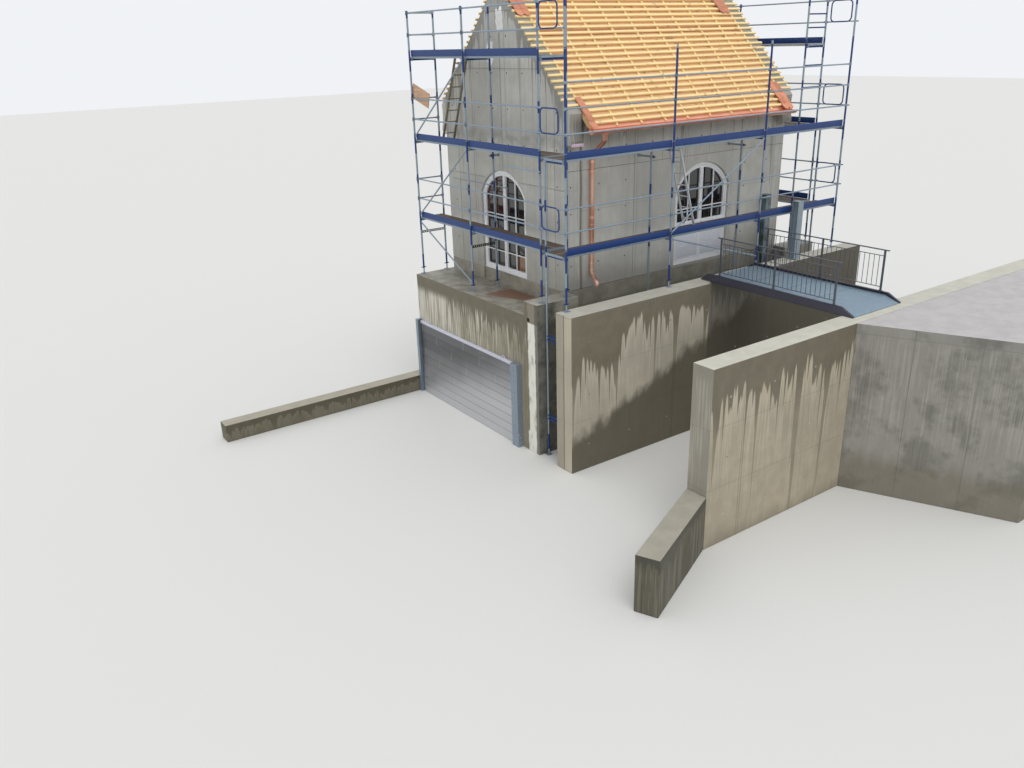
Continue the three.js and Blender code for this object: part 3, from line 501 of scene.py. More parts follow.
class Mixer:
    """Adds nodes to a material or to a node group and joins them."""

    def __init__(self, tree):
        self.tree = tree

    def node(self, kind, **settings):
        made = self.tree.nodes.new("ShaderNode" + kind)
        for key, value in settings.items():
            setattr(made, key, value)
        return made

    def feed(self, socket, value):
        """Links a value, or sets a plain one. A text is a colour code."""
        if isinstance(value, Value):
            self.tree.links.new(value.socket, socket)
        elif value is not None:
            socket.default_value = paint(value) if isinstance(value, str) else value

    def filled(self, made, values, places=(0, 1, 2), output=0):
        """Feeds the inputs at the places and returns an output."""
        for place, value in zip(places, values):
            self.feed(made.inputs[place], value)
        return Value(self, made.outputs[output])

    def math(self, operation, a, b=None):
        return self.filled(self.node("Math", operation=operation), (a, b))

    def mix(self, share, a, b):
        made = self.node("Mix", data_type="RGBA", clamp_factor=True)
        return self.filled(made, (share, a, b), (0, 6, 7), 2)

    def tint(self, base, mask, strength, over):
        """The base with another colour laid over it where the mask is, at the given strength."""
        return self.mix(mask * strength, base, over)

    def span(self, value, low, high):
        """0 at low, 1 at high, with a smooth step between."""
        return self.filled(self.node("MapRange", interpolation_type="SMOOTHSTEP"), (value, low, high))

    def below(self, value, low, high):
        """1 at low, 0 at high, with a smooth step between."""
        return 1.0 - self.span(value, low, high)

    def scaled(self, vector, scales, operation="MULTIPLY"):
        """A vector with each of its parts scaled, unless another operation is named."""
        return self.filled(self.node("VectorMath", operation=operation), (vector, scales))

    def split(self, vector):
        made = self.node("SeparateXYZ")
        self.feed(made.inputs[0], vector)
        return [Value(self, output) for output in made.outputs]

    def join(self, x, y, z):
        return self.filled(self.node("CombineXYZ"), (x, y, z))

    def noise(self, vector, scale, detail=2.0, rough=0.5):
        made = self.node("TexNoise")
        return self.filled(made, (vector, scale, detail, rough), ("Vector", "Scale", "Detail", "Roughness"))

    def group(self, effect_tree, **values):
        """Places a node group, feeds its inputs by name and returns its outputs by name."""
        made = self.node("Group", node_tree=effect_tree())
        for key, value in values.items():
            self.feed(made.inputs[key], value)
        return {output.name: Value(self, output) for output in made.outputs}


def effect(build):
    """Turns a function into a shader node group of its name, built when it is first used.

    The function's arguments after the mixer are the inputs, vectors where the default is None, and the
    dictionary that it returns names the outputs.
    """

    def effect_tree():
        tree = bpy.data.node_groups.get(build.__name__)
        if tree:
            return tree
        tree = bpy.data.node_groups.new(build.__name__, "ShaderNodeTree")
        inputs = list(inspect.signature(build).parameters.values())[1:]
        for given in inputs:
            kind = "NodeSocketVector" if given.default is None else "NodeSocketFloat"
            socket = tree.interface.new_socket(given.name.capitalize(), in_out="INPUT", socket_type=kind)
            if given.default is not None:
                socket.default_value = given.default
        mixer = Mixer(tree)
        sockets = tree.nodes.new("NodeGroupInput").outputs
        results = build(mixer, *(Value(mixer, socket) for socket, _ in zip(sockets, inputs)))
        for label in results:
            tree.interface.new_socket(label, in_out="OUTPUT", socket_type="NodeSocketFloat")
        ends = tree.nodes.new("NodeGroupOutput").inputs
        for label, value in results.items():
            mixer.feed(ends[label], value)
        return tree

    return effect_tree


@effect
def wall_places(m, place=None, facing=None):
    """Distance along a wall, height, and masks for upward faces and for faces that look across the channel."""
    x, y, z = m.split(place)
    _, ny, nz = m.split(facing)
    return {"Along": x - y, "Height": z, "Across": m.span(abs(ny), 0.55, 0.75), "Up": m.span(nz, 0.45, 0.8)}


@effect
def mottling(m, place=None):
    """Broad cloudiness, finer patches, cement grain and pores."""
    return {
        "Clouds": m.span(m.noise(place, 0.55, 3, 0.55), 0.3, 0.7),
        "Patches": m.span(m.noise(place, 3.4, 4, 0.6), 0.3, 0.7),
        "Grain": m.noise(place, 46.0, 3, 0.6),
        "Pores": m.span(m.noise(place, 31.0, 1, 0.4), 0.70, 0.76),
    }


def upright_noise(m, along, depth, dense, shift, slow, detail=1):
    """Noise that changes along a wall and hardly down it."""
    return m.noise(m.join(along * dense, shift, depth * slow), 1.0, detail)


@effect
def damp_tongues(m, along=0.0, depth=0.0, band=0.5, reach=1.0):
    """Damp that runs down from the top: broad sags and narrow drips of the distance along, cut by the depth."""
    level = upright_noise(m, along, depth, 1.1, 3.0, 0.1) * 0.9
    for dense, shift, high in ((4.2, 9.0, 0.8), (13.0, 17.0, 0.5)):
        crest = upright_noise(m, along, depth, dense, shift, 0.12, 0) / 0.66
        level = level + crest**6.0 * high
    fall = (depth - band) / reach
    gap = level - 0.35 - fall
    fade = 1.0 - m.span(fall, 0.3, 1.1) * 0.45
    return {
        "Damp": m.span(gap, -0.04, 0.05) * fade,
        "Rim": m.span(gap, -0.5, -0.08) * m.below(gap, -0.06, 0.0),
    }


@effect
def run_marks(m, along=0.0, depth=0.0, fineness=22.0, start=0.3, end=3.0, crowd=0.0):
    """Thin upright streaks: fine noise of the distance along, stretched down the wall. Crowd makes them denser."""
    fine = upright_noise(m, along * fineness, depth, 1.0, 5.0, 0.8, 2)
    slow = upright_noise(m, along, depth, 3.1, 11.0, 0.7) * 0.35
    mark = m.span(fine + slow + crowd, 0.62, 0.82)
    return {"Marks": mark * m.span(depth, start, start + 0.25) * m.below(depth, end * 0.6, end)}


@effect
def repeat_lines(m, value=0.0, first=0.0, pitch=1.0, width=0.01):
    """Thin lines at a regular pitch: distance to the nearest multiple of the pitch."""
    share = (value - first) / pitch
    gap = abs(share - m.math("ROUND", share)) * pitch
    return {"Lines": m.below(gap, width * 0.4, width)}


@effect
def scuffs(m, place=None):
    """Rubbed patches and fine scratches on a painted or rolled face."""
    broad = m.span(m.noise(place, 2.2, 3, 0.6), 0.48, 0.72)
    fine = m.span(m.noise(place, 23.0, 4, 0.7), 0.5, 0.68)
    brush = m.noise(m.scaled(place, (3.0, 3.0, 60.0)), 1.0, 2)
    return {"Rubbed": broad * fine, "Fine": fine, "Brush": brush}


@effect
def wood_grain(m, place=None, stretch=None):
    """Rings drawn out along the member, with knots."""
    grain = m.noise(m.scaled(place, stretch), 1.0, 4, 0.65)
    knots = m.noise(m.scaled(place, (5.0, 11.0, 11.0)), 1.0, 0)
    return {"Grain": m.span(grain, 0.3, 0.7), "Knots": m.span(knots, 0.73, 0.8)}


class Finish(Mixer):
    """A material with its own shader, the plan place and the face direction ready to use, and a base colour."""

    def __init__(self, name, roughness=0.6, metallic=0.0):
        self.material = bpy.data.materials.new(name)
        self.material.use_nodes = True
        super().__init__(self.material.node_tree)
        self.shader = self.tree.nodes["Principled BSDF"].inputs
        here = Value(self, self.node("TexCoord").outputs["Object"])
        self.place = self.scaled(here, tuple(SHIFT), "SUBTRACT")
        self.facing = Value(self, self.node("NewGeometry").outputs["Normal"])
        self.shader["Roughness"].default_value = roughness
        self.shader["Metallic"].default_value = metallic
        self.base = None

    def tone(self):
        return Value(self, self.node("Attribute", attribute_name="tone").outputs["Fac"])

    def lay(self, mask, strength, over):
        """Lays a colour over the base where the mask is."""
        self.base = self.tint(self.base, mask, strength, over)

    def close(self, distance=0.0, height=None, roughness=None):
        """Feeds the shader and returns the material."""
        self.feed(self.shader["Base Color"], self.base)
        self.feed(self.shader["Roughness"], roughness)
        if height is not None:
            bump = self.filled(self.node("Bump"), (distance, height), ("Distance", "Height"))
            self.feed(self.shader["Normal"], bump)
        return self.material


def darker(shade, share):
    """A colour, or the colour of a code, scaled in brightness."""
    shade = paint(shade) if isinstance(shade, str) else shade
    return tuple(c * share for c in shade[:3]) + (1.0,)


def cast_concrete(
    name, body, top_level, band=0.0, reach=1.0, wet=None, top=None, lime=0.0, panel=2.4, lift=1.22, low_damp=0.0,
    end=None, fineness=22.0, marks_end=3.0, boards=0.25, deep=None, blotches=None,
):
    """Cast concrete: mottled body, damp tongues from the top, run marks, form joints, a damp foot and a pale top."""
    look = bpy.context.scene.powerhouse_concrete
    m = Finish(name, CAST_ROUGH)
    m.where = where = m.group(wall_places, Place=m.place, Facing=m.facing)
    m.spots = spots = m.group(mottling, Place=m.place)
    along, height, across, patches = where["Along"], where["Height"], where["Across"], spots["Patches"]
    depth = top_level - height
    m.base = m.mix(spots["Clouds"], darker(body, 0.86), darker(body, 1.12))
    m.lay(patches, 0.45, darker(body, 0.76))
    if blotches:
        m.lay(m.span(m.noise(m.place, 1.1, 4, 0.6), 0.45, 0.62), 0.75, blotches)
    if end:
        m.base = m.mix(across, m.mix(spots["Clouds"], darker(end, 0.9), darker(end, 1.15)), m.base)
    strips = upright_noise(m, along, height, 9.5, 2.0, 0.12, 2)
    m.lay(m.span(strips, 0.35, 0.65), boards, darker(body, 0.78))
    m.rough = CAST_ROUGH
    if lime:
        marks = m.group(run_marks, Along=along, Depth=depth, Fineness=fineness, Start=0.12, End=marks_end)
        m.lay(marks["Marks"], lime, look.lime)
    if low_damp:
        ragged = height + m.noise(m.join(along, 0.0, 0.0), 2.6, 3) * 0.7
        m.lay(m.below(ragged, low_damp, low_damp + 0.5), 0.55, darker(look.wet, 0.85))
    if deep:
        band = m.below(along, *deep) * 0.75 + band
    if band:
        tongues = m.group(damp_tongues, Along=along, Depth=depth, Band=band, Reach=reach)
        damp, rim = tongues["Damp"], tongues["Rim"]
        if end:
            damp, rim = damp * across, rim * across
        m.lay(rim, 0.4, darker(body, 1.25))
        m.lay(damp, 0.92, m.tint(wet, patches, 0.6, darker(wet, 0.72)))
        m.rough = CAST_ROUGH - damp * 0.3
    upright = m.group(repeat_lines, Value=along, First=0.35, Pitch=panel, Width=0.012)["Lines"]
    level = m.group(repeat_lines, Value=height, Pitch=lift, Width=0.009)["Lines"]
    lines = m.math("MAXIMUM", upright, level * 0.7) * (1.0 - where["Up"])
    m.lay(lines, 0.5, darker(body, 0.45))
    # Pores darkened: painted shade inside the small holes of the cast face.
    m.lay(spots["Pores"], 0.45, darker(body, 0.5))
    if top is not None:
        m.base = m.mix(where["Up"], m.base, m.mix(patches, darker(top, 0.92), darker(top, 1.05)))
    m.rise = spots["Grain"] - lines * 0.9 - spots["Pores"] * 0.8
    return m


def cast_material(m):
    """The material of a cast surface, with its grain raised."""
    return m.close(0.004, m.rise, m.rough)


def spotted(name, dark, light, roughness=0.9):
    """A finish that wanders between two colours in fine patches."""
    if name in bpy.data.materials:
        return bpy.data.materials[name]
    m = Finish(name, roughness)
    spots = m.group(mottling, Place=m.place)
    m.base = m.mix(spots["Patches"], dark, light)
    return m.close(0.002, spots["Grain"])


def metal(name, body, roughness, metallic, worn, brushed, rubbed):
    """Rolled or painted metal with scuffs, a brushed lay and rubbed patches."""
    if name in bpy.data.materials:
        return bpy.data.materials[name]
    m = Finish(name, roughness, metallic)
    marks = m.group(scuffs, Place=m.place)
    m.base = m.mix(marks["Fine"], darker(body, 0.88), darker(body, 1.06))
    m.lay(m.tone(), 0.25, darker(body, 1.3))
    m.lay(marks["Brush"], brushed, darker(body, 0.72))
    m.lay(marks["Rubbed"], rubbed, worn)
    return m.close(0.0006, marks["Brush"], marks["Brush"] * 0.18 + (roughness - 0.06))


def timber(name, body, stretch, rough, depth, spread, knots):
    """Sawn wood with grain along the member, knots, and a tone of its own for each member."""
    m = Finish(name, rough)
    wood = m.group(wood_grain, Place=m.place, Stretch=stretch)
    m.base = m.mix(wood["Grain"], darker(body, 1.05), darker(body, 1 - 0.3 * depth))
    m.lay(m.tone(), spread, darker(body, 0.72))
    m.lay(wood["Knots"], knots, darker(body, 0.3))
    return m.close(0.0012, wood["Grain"], rough)


def zinc():
    """Galvanised steel with its spangle."""
    look = bpy.context.scene.powerhouse_metal
    return metal("hot_dip_zinc", look.zinc, 0.45, 0.75, darker(look.zinc, 1.5), 0.2, 0.5)


def tube_zinc():
    """Galvanised scaffold tube."""
    look = bpy.context.scene.powerhouse_scaffold
    return metal("tube_zinc", look.zinc, 0.42, 0.45, darker(look.zinc, 1.5), 0.15, 0.5)


def blue_paint():
    """Blue paint worn to a lighter tone."""
    look = bpy.context.scene.powerhouse_scaffold
    return metal("blue_paint", look.blue, 0.42, 0.0, look.worn, 0.2, 0.35)


def white_gloss():
    """Gloss paint with a faint brush lay."""
    look = bpy.context.scene.powerhouse_joinery
    made = metal("white_gloss", look.white, 0.28, 0.0, darker(look.white, 0.86), 0.06, 0.3)
    made.node_tree.nodes["Principled BSDF"].inputs["Coat Weight"].default_value = 0.4
    return made


def dark_hollow():
    """Painted shade: a dark colour for the shadowed inside of a hole or a gap, or for a part that stands in shadow."""
    return spotted("dark_hollow", "1d1b18", "2b2823")


def bolt(size):
    """Turned stations of a bolt head on its washer."""
    return np.array([(-0.1, 1.6), (0.2, 1.6), (0.3, 1.15), (1.1, 1.15), (1.2, 0.9)]) * size


def sleeve(radius, high, rise):
    """Turned stations of a collar round a tube."""
    return ((0, radius + 0.001), (0.002, radius + rise), (high - 0.002, radius + rise), (high, radius + 0.001))


# Operators


class Builder(Operator):
    """Base of the building steps, which can be undone."""

    bl_options = {"REGISTER", "UNDO"}


def guide_wall_finish(look):
    """Guide wall: greyer past its set-back, and wet below a ragged line that climbs along it."""
    m = cast_concrete(
        "guide_wall_concrete", look.pale, WALL_TOP, 0.12, 1.3, darker(look.wet, 1.05), look.tops, 0.15,
        end="b3ab98", panel=2.43, deep=(1.3, 2.3),
    )
    x, y, z = m.split(m.place)
    across = m.where["Across"]
    middle = (GUIDE_LOW[1] + GUIDE_HIGH[1]) / 2
    face = m.below(x, GUIDE_LOW[0] + 0.01, GUIDE_LOW[0] + 0.03) * (1.0 - m.where["Up"])
    wander = y + m.noise(m.join(0.0, 0.0, z), 3.0, 3) * 0.03
    m.lay(m.span(wander, middle, middle + 0.05) * face, 0.35, "6e6b60")
    m.lay(m.below(abs(wander - (middle + 0.015)), 0.008, 0.03) * face, 0.65, "4f4c44")
    m.lay(m.span(x, 3.9, 3.98) * across, 0.7, "74716a")
    ragged = z + m.noise(m.scaled(m.place, (2.4, 1.0, 1.2)), 1.0, 3) * 0.9
    above = ragged - (x * 0.42 + 1.2)
    m.lay(m.below(above, -0.15, 0.25) * across, 0.85, "4f4a3b")
    return cast_material(m)


def tie_plugs(look):
    """Dished plugs in the tie holes, on a regular grid over each wall face."""
    r = look.tie_radius
    stations = ((-0.004, r), (0.0012, r), (0.0015, 0.8 * r), (0.0006, 0.55 * r), (0.0008, 0.2 * r))
    shell = Shell()
    heights, never = (0.62, 1.84, 3.06), math.inf
    faces = (
        (GUIDE_LOW[0] + 0.5, GUIDE_HIGH[0] - 0.4, GUIDE_LOW[1], -1, 3.95, 0.09),
        (GUIDE_LOW[0] + 0.5, GUIDE_HIGH[0] - 0.4, GUIDE_HIGH[1], 1, never, 0.0),
        (0.2, 11.08, WEIR_INNER, 1, never, 0.0),
        (0.2, 3.6, WEIR_OUTER, -1, never, 0.0),
    )
    for x0, x1, y, sense, step_at, step in faces:
        x, z = (values.ravel() for values in np.meshgrid(np.arange(x0, x1, look.tie_pitch), heights))
        shell.turned(rows(x, np.where(x > step_at, y + step, y), z), (0, sense, 0), stations, 0, 10)
    shell.piece("channel_wall_tie_plugs", "concrete", [spotted("tie_plug_mortar", "c3beb0", "6e6a5f")])


class POWERHOUSE_OT_channel_walls(Builder):
    """Casts the guide wall, weir wall, abutment, wing wall and bank kerb"""

    bl_idname = "powerhouse.channel_walls"
    bl_label = "Channel walls"

    def execute(self, context):
        look = context.scene.powerhouse_concrete
        dressed("guide_wall", "concrete", [guide_wall_finish(look)], look.edge)
        walls = {
            "weir_wall": cast_concrete(
                "weir_wall_concrete", look.weir, WALL_TOP, 0.25, 1.3, darker(look.wet, 0.85), "c4c1b4", 0.2,
                low_damp=0.2, end="8c887c", panel=2.43, lift=1.25, deep=(0.6, 6.5),
            ),
            "bank_abutment": cast_concrete(
                "abutment_concrete", "99968e", WALL_TOP, top=look.slab, lime=0.15, low_damp=0.9, panel=1.6,
                lift=3.5, boards=0.4, blotches="65645d",
            ),
            "wing_wall": cast_concrete(
                "wing_wall_concrete", "5d5a4c", 1.14, 0.02, 0.4, "47453a", "a29d8f", 0.1, lift=2.4
            ),
            "bank_kerb": cast_concrete(
                "kerb_concrete", "6f6a59", 0.45, 0.05, 0.3, "55503f", "a39c8a", 0.05, panel=1.5, lift=2.4
            ),
        }
        for node, made in walls.items():
            dressed(node, "concrete", [cast_material(made)], look.edge)
        tie_plugs(look)
        return {"FINISHED"}


def substructure_finish(look):
    """Block under the house: lime runs, a mortar strip, grey sides, and ledges with a rusty sheet by the window."""
    m = cast_concrete("substructure_concrete", look.base, TERRACE, 0.3, 0.8, "6b6552", panel=2.2, boards=0.15)
    x, y, z = m.split(m.place)
    patches, across = m.spots["Patches"], m.where["Across"]
    front = m.below(x, -0.2, 0.0) * (1.0 - across)
    marks = m.group(
        run_marks, Along=m.where["Along"], Depth=TERRACE - z, Fineness=30.0, Start=0.25, End=4.4,
        Crowd=(y - 3.7) * 0.04,
    )
    m.lay(marks["Marks"] * front, 0.85, look.lime)
    side = m.mix(m.span(x, 0.3, 0.9), "4b4b46", "8a887f")
    m.lay(across, 0.85, m.mix(patches, side, darker("8a887f", 0.8)))
    mortar_strip(m, front, y, z)
    m.lay(m.span(z, TERRACE - 0.12, TERRACE) * m.span(x, 0.1, 0.3), 0.85, m.mix(patches, "8e897c", "aca798"))
    ledge = m.mix(patches, "7d796e", "a6a295")
    slant = x + y * 0.35
    sheet = m.span(slant, 1.09, 1.11) * m.below(x, 0.76, 0.8) * m.span(y, 2.06, 2.1) * m.below(y, 3.1, 3.2)
    ledge = m.tint(ledge, sheet, 0.85, m.mix(patches, look.rust, darker(look.rust, 0.7)))
    ledge = m.mix(m.span(z, 3.5, 3.6), ledge, m.mix(patches, "a5a295", "b8b5a9"))
    m.base = m.mix(m.where["Up"], m.base, ledge)
    return cast_material(m)


def mortar_strip(m, front, y, z):
    """Fresh mortar down the pier by its dark edge, wider near the foot, with a brown run beside it."""
    ragged = y + (m.noise(m.join(0.0, y, z), 5.0, 3) - 0.5) * 0.06
    wide = m.below(ragged, 1.0, 1.03) * m.below(z, 0.5, 0.54)
    fresh = m.math("MAXIMUM", m.below(ragged, 0.95, 0.98), wide) * front
    smudge = m.span(m.noise(m.join(2.0, y, z * 0.4), 6.0, 3), 0.5, 0.7)
    m.lay(m.below(y, 1.12, 1.2) * front, 0.45, "6d6450")
    m.lay(fresh * m.below(z, 3.2, 3.25), 0.95, m.mix(smudge, "e4e2d8", "bab7ac"))
    m.lay(fresh * m.span(z, 3.2, 3.3), 0.4, "9d9786")
    m.lay(m.below(ragged, 0.69, 0.71) * front, 0.85, "57544c")


class POWERHOUSE_OT_substructure(Builder):
    """Casts the block under the house with its ledges, piers and drain"""

    bl_idname = "powerhouse.substructure"
    bl_label = "Substructure"

    def execute(self, context):
        look = context.scene.powerhouse_concrete
        dressed("substructure", "concrete", [substructure_finish(look)], look.edge)
        shell = Shell()
        hole = ((-0.006, 0.052), (0.002, 0.052), (0.003, 0.047), (0.001, 0.045), (0.0008, 0.01))
        shell.turned([(BLOCK_LOW[0], 0.94, 3.29)], (-1, 0, 0), hole, 0, 24)
        # The drain's mouth is drawn in painted shade.
        shell.piece("drain_outlet", "dark_steel", [dark_hollow()])
        return {"FINISHED"}


def long_wall_finish(look):
    """Long wall: run marks from the eaves, two stained joints by the corner and a brownish foot."""
    m = cast_concrete(
        "long_wall_concrete", look.house, 7.9, 0.02, 0.9, "8b8a83", "b4b1a5", 0.2, panel=1.65, lift=2.765,
        boards=0.35, fineness=14.0, marks_end=4.0,
    )
    x, _, z = m.split(m.place)
    wander = m.noise(m.join(x, 0.0, z), 1.2, 2) * 0.05
    for line in (0.99, 1.29):
        gap = abs(x + wander - (line + 0.025))
        m.lay(m.below(gap, 0.012, 0.05) * m.below(z, 6.9, 7.2), 0.75, "5a574f")
    m.lay(m.below(z + m.noise(m.place, 2.0, 3) * 0.5, 4.05, 4.5), 0.35, "857f70")
    return cast_material(m)


def gable_finish(look):
    """Gable concrete: damp along the verge, grey peak block, ears darkened partly by stain streaks and partly by
    painted shade under the roof, and a darker foot.
    """
    m = cast_concrete("gable_concrete", look.house, 12.0, top="b1aea5", panel=1.37, lift=6.02, boards=0.4)
    x, y, z = m.split(m.place)
    run = abs(y - MID_Y)
    under = RIDGE_Z - run * math.tan(PITCH) - z
    tongues = m.group(damp_tongues, Along=y * 1.3, Depth=under, Band=0.05, Reach=1.0)
    m.lay(tongues["Damp"] * m.below(run, 2.4, 2.5), 0.6, "76736a")
    m.lay(m.span(z, 9.83, 9.86) * m.below(run, 0.5, 0.56), 0.7, "a3a4a2")
    marks = m.group(run_marks, Along=x, Depth=7.7 - z, Fineness=26.0, Start=0.0, End=1.2, Crowd=0.08)
    # The ears' side faces: run-mark stains over a dark tone that is painted shade under the roof overhang.
    ear = m.where["Across"] * m.span(run, 2.5, 2.6) * m.span(z, 6.9, 7.0)
    m.lay(ear, 0.7, m.mix(marks["Marks"], "99958a", "56534c"))
    m.lay(m.below(abs(z - 6.95), 0.1, 0.3) * m.spots["Patches"], 0.4, "827d70")
    m.lay(m.below(z + m.noise(m.place, 2.0, 3) * 0.6, 4.0, 4.9), 0.4, "8a867b")
    return cast_material(m)


def form_joints():
    """Mortar fins where the form panels met, and joints level along the walls; those along the long wall are dark with
    painted shade.
    """
    fin = oblong(0.010, 0.007, 0.002, 1)
    joint = oblong(0.014, 0.005, 0.002, 1)
    foot, y0 = WALL_TOP + 0.02, HOUSE_Y0 - 0.001
    shell = Shell()
    for x in (1.27, 2.92, 4.57, 6.57, 7.5):
        bottom = ABOVE_ARCH if abs(x - DOOR_X) < 1.0 else foot
        shell.bars((x, y0, bottom), (x, y0, 7.2), fin, up=Y)
    # Finish 1, painted shade, darkens the level joints along the long wall.
    shell.bars((HOUSE_X0 + 0.02, y0, 6.45), (HOUSE_X1 - 0.02, y0, 6.45), joint, 1)
    for x0, x1 in ((HOUSE_X0 + 0.02, DOOR_X - 0.97), (DOOR_X + 0.97, HOUSE_X1 - 0.02)):
        shell.bars((x0, y0, foot), (x1, y0, foot), joint, 1)
    for x in (HOUSE_X0 - 0.001, HOUSE_X1 + 0.001):
        for y in (1.38, 1.66, 3.43, 4.7, 5.42):
            top = RIDGE_Z - abs(MID_Y - y) * math.tan(PITCH) - 0.2
            shell.bars((x, y, ABOVE_ARCH if abs(y - MID_Y) < 1.0 else foot), (x, y, top), fin, up=X)
        for z, gap in ((6.04, 0.75), (8.6, 0.0), (9.84, 0.0)):
            reach = min(2.48, (RIDGE_Z - z) / math.tan(PITCH) - 0.12)
            for sense in (-1, 1):
                shell.bars((x, MID_Y + sense * gap, z), (x, MID_Y + sense * reach, z), joint)
    mortar = spotted("joint_fin_mortar", "6f6d66", "9d9b93")
    shell.piece("form_joint_fins", "pale_concrete", [mortar, dark_hollow()])


def tie_holes(r):
    """Dished plugs in the tie holes of the four walls, dark with painted shade of the holes."""
    dish = ((-0.004, r), (0.0016, r), (0.0018, 0.75 * r), (0.0004, 0.5 * r), (0.0006, 0.15 * r))
    shell = Shell()
    x, z = np.meshgrid(np.arange(1.0, 8.2, 0.825), (4.3, 5.5, 6.1, 6.9))
    keep = (np.abs(x - DOOR_X) > 1.05) | (z > ABOVE_ARCH)
    for y, sense in ((HOUSE_Y0, -1), (HOUSE_Y1, 1)):
        shell.turned(rows(x[keep], y, z[keep]), (0, sense, 0), dish, 0, 10)
    y, z = np.meshgrid(np.arange(1.3, 5.8, 0.62), (4.3, 5.3, 6.1, 6.9, 7.7, 8.5, 9.3))
    away = np.abs(y - MID_Y)
    keep = ((away > 1.02) | (z > ABOVE_ARCH)) & (z < RIDGE_Z - away * math.tan(PITCH) - 0.35)
    for x, sense in ((HOUSE_X0, -1), (HOUSE_X1, 1)):
        shell.turned(rows(x, y[keep], z[keep]), (sense, 0, 0), dish, 0, 10)
    # The holes are dark with painted shade.
    shell.piece("house_tie_holes", "pale_concrete", [dark_hollow()])


def plaster_patches():
    """Ragged skim patches: r up to 1 + a mix of sines of the angle. A painted strip lies under the near ear."""
    shell = Shell()
    rng = np.random.default_rng(5)
    angle = np.linspace(0, 2 * math.pi, 33)[:-1]
    shares = np.array([1.0, 0.97, 0.8, 0.5, 0.15])[:, None]
    rise = np.array([-0.003, 0.0035, 0.0055, 0.0065, 0.0068])[:, None]
    for y, z, wide, high in ((3.395, 9.65, 0.165, 0.25), (3.81, 8.96, 0.165, 0.26)):
        outline = 1 + sum(rng.uniform(-0.13, 0.13) * np.sin(k * angle + rng.uniform(0, 6)) for k in range(2, 9))
        ring_y = y + wide * shares * outline * np.cos(angle)
        ring_z = z + high * shares * outline * np.sin(angle)
        shell.add(rows(HOUSE_X0 - rise, ring_y, ring_z)[:, ::-1], rings_faces(5, 32))
    shell.block((HOUSE_X0 + 0.01, 0.785, 7.03), (1.2, 0.785, 7.03), 0.04, 0.06, 1, edge=0.004)
    finishes = [spotted("skim_plaster", "ffffff", "e2e1dd", 0.8), spotted("lilac_primer", "dcbfdc", "efd5e8", 0.6)]
    shell.piece("gable_plaster_patches", "pale_concrete", finishes)


class POWERHOUSE_OT_house_walls(Builder):
    """Casts the gables and long walls, with joint fins, tie holes and plaster patches"""

    bl_idname = "powerhouse.house_walls"
    bl_label = "House walls"

    def execute(self, context):
        look = context.scene.powerhouse_concrete
        gable, wall = gable_finish(look), long_wall_finish(look)
        for word, finish in (("gable_front", gable), ("gable_back", gable), ("long_wall_channel", wall),
                             ("long_wall_bank", wall)):
            dressed(word, "pale_concrete", [finish], look.edge)
        form_joints()
        tie_holes(look.tie_radius * 0.8)
        plaster_patches()
        return {"FINISHED"}


def dark_panes(look):
    """Dark panes with painted reflections of the surroundings: lighter clouds over all, and brown or orange reflections
    on some panes of the front window.
    """
    m = Finish("dark_panes", 0.07)
    x, y, z = m.split(m.place)
    near = m.below(x, 3.0, 3.5)
    cloud = m.noise(m.scaled(m.place, (1.0, 1.0, 2.2)), 1.7, 3, 0.6)
    # Lighter clouds in the dark glass: painted reflection of the surroundings.
    m.base = m.mix(m.span(cloud, 0.42, 0.66), look.pane, darker(look.pane, 2.2))
    # Brown and orange patches on two parts of the front window: painted reflections of nearby houses.
    m.lay(m.span(y, 3.45, 3.5) * m.span(z, 5.0, 5.2) * near, 0.75, look.glow)
    m.lay(m.below(y, 3.0, 3.05) * m.below(z, 4.2, 4.24) * near, 0.85, "8a5a2c")
    m.shader["Coat Weight"].default_value = 0.6
    return m.close(0.006, m.noise(m.place, 1.1, 1))


def arched_window(look, bottom, panel_top):
    """Local window: x across from the middle, y into the wall from the face of the frame, z up."""
    shell = Shell()
    half, wide = OPENING_WIDE / 2, look.frame_wide
    outer = arch_path(half - wide / 2 - 0.001, bottom + wide / 2, ARCH_RISE - wide / 2 - 0.001)
    frame_ring(shell, outer, 0.036, wide, 0.068)
    start = panel_top + 0.02 if panel_top else bottom
    inner = half - wide - look.sash_wide + 0.012
    arch = half - wide - look.sash_wide / 2, ARCH_RISE - wide - look.sash_wide / 2
    for side in (-1, 1):
        leaf = leaf_outline(side, half - wide + 0.004, look.sash_wide, bottom + wide - 0.004, ARCH_RISE - wide + 0.004)
        frame_ring(shell, leaf, LEAF_Y, look.sash_wide, 0.052)
        middle = side * (0.056 + inner) / 2
        upright = oblong(look.bar_wide, LEAF_Y, 0.009, 3)
        shell.bars((middle, LEAF_Y, start), (middle, LEAF_Y, arch_height(abs(middle), *arch)), upright, up=Y)
        for z in BAR_LEVELS:
            if z > start + 0.2:
                ends = (0.05 * side, LEAF_Y, z), (inner * side, LEAF_Y, z)
                shell.block(*ends, LEAF_Y, look.bar_wide, edge=0.009, steps=3)
    top = ARCH_SPRING + ARCH_RISE - wide - 0.004
    shell.block((0, 0.006, bottom + wide), (0, 0.006, top), 0.034, 0.018, 0, Y, 0.007, 3)
    sill = np.array([[-0.012, 0.0], [0.058, 0.0], [0.058, 0.034], [-0.002, 0.026], [-0.012, 0.02]])
    shell.bars((-half + 0.01, 0.0, bottom), (half - 0.01, 0.0, bottom), sill)
    if panel_top:
        door_panels(shell, half - wide, bottom + wide + 0.04, panel_top)
    window_fittings(shell, bottom, panel_top)
    return shell


def frame_ring(shell, outline, set_back, wide, deep):
    """A frame carried round an outline (u, z): its section is a rectangle with stepped, rounded edges."""
    right = np.array([(1, -1), (1, 0.45), (0.8, 0.55), (0.72, 0.9), (0.5, 1)])
    section = np.concatenate([right, right[::-1] * (-1, 1)]) * (wide / 2, deep / 2)
    shell.sweep(rows(outline[:, 0], set_back, outline[:, 1]), section, (0, -1, 0), 0, True)


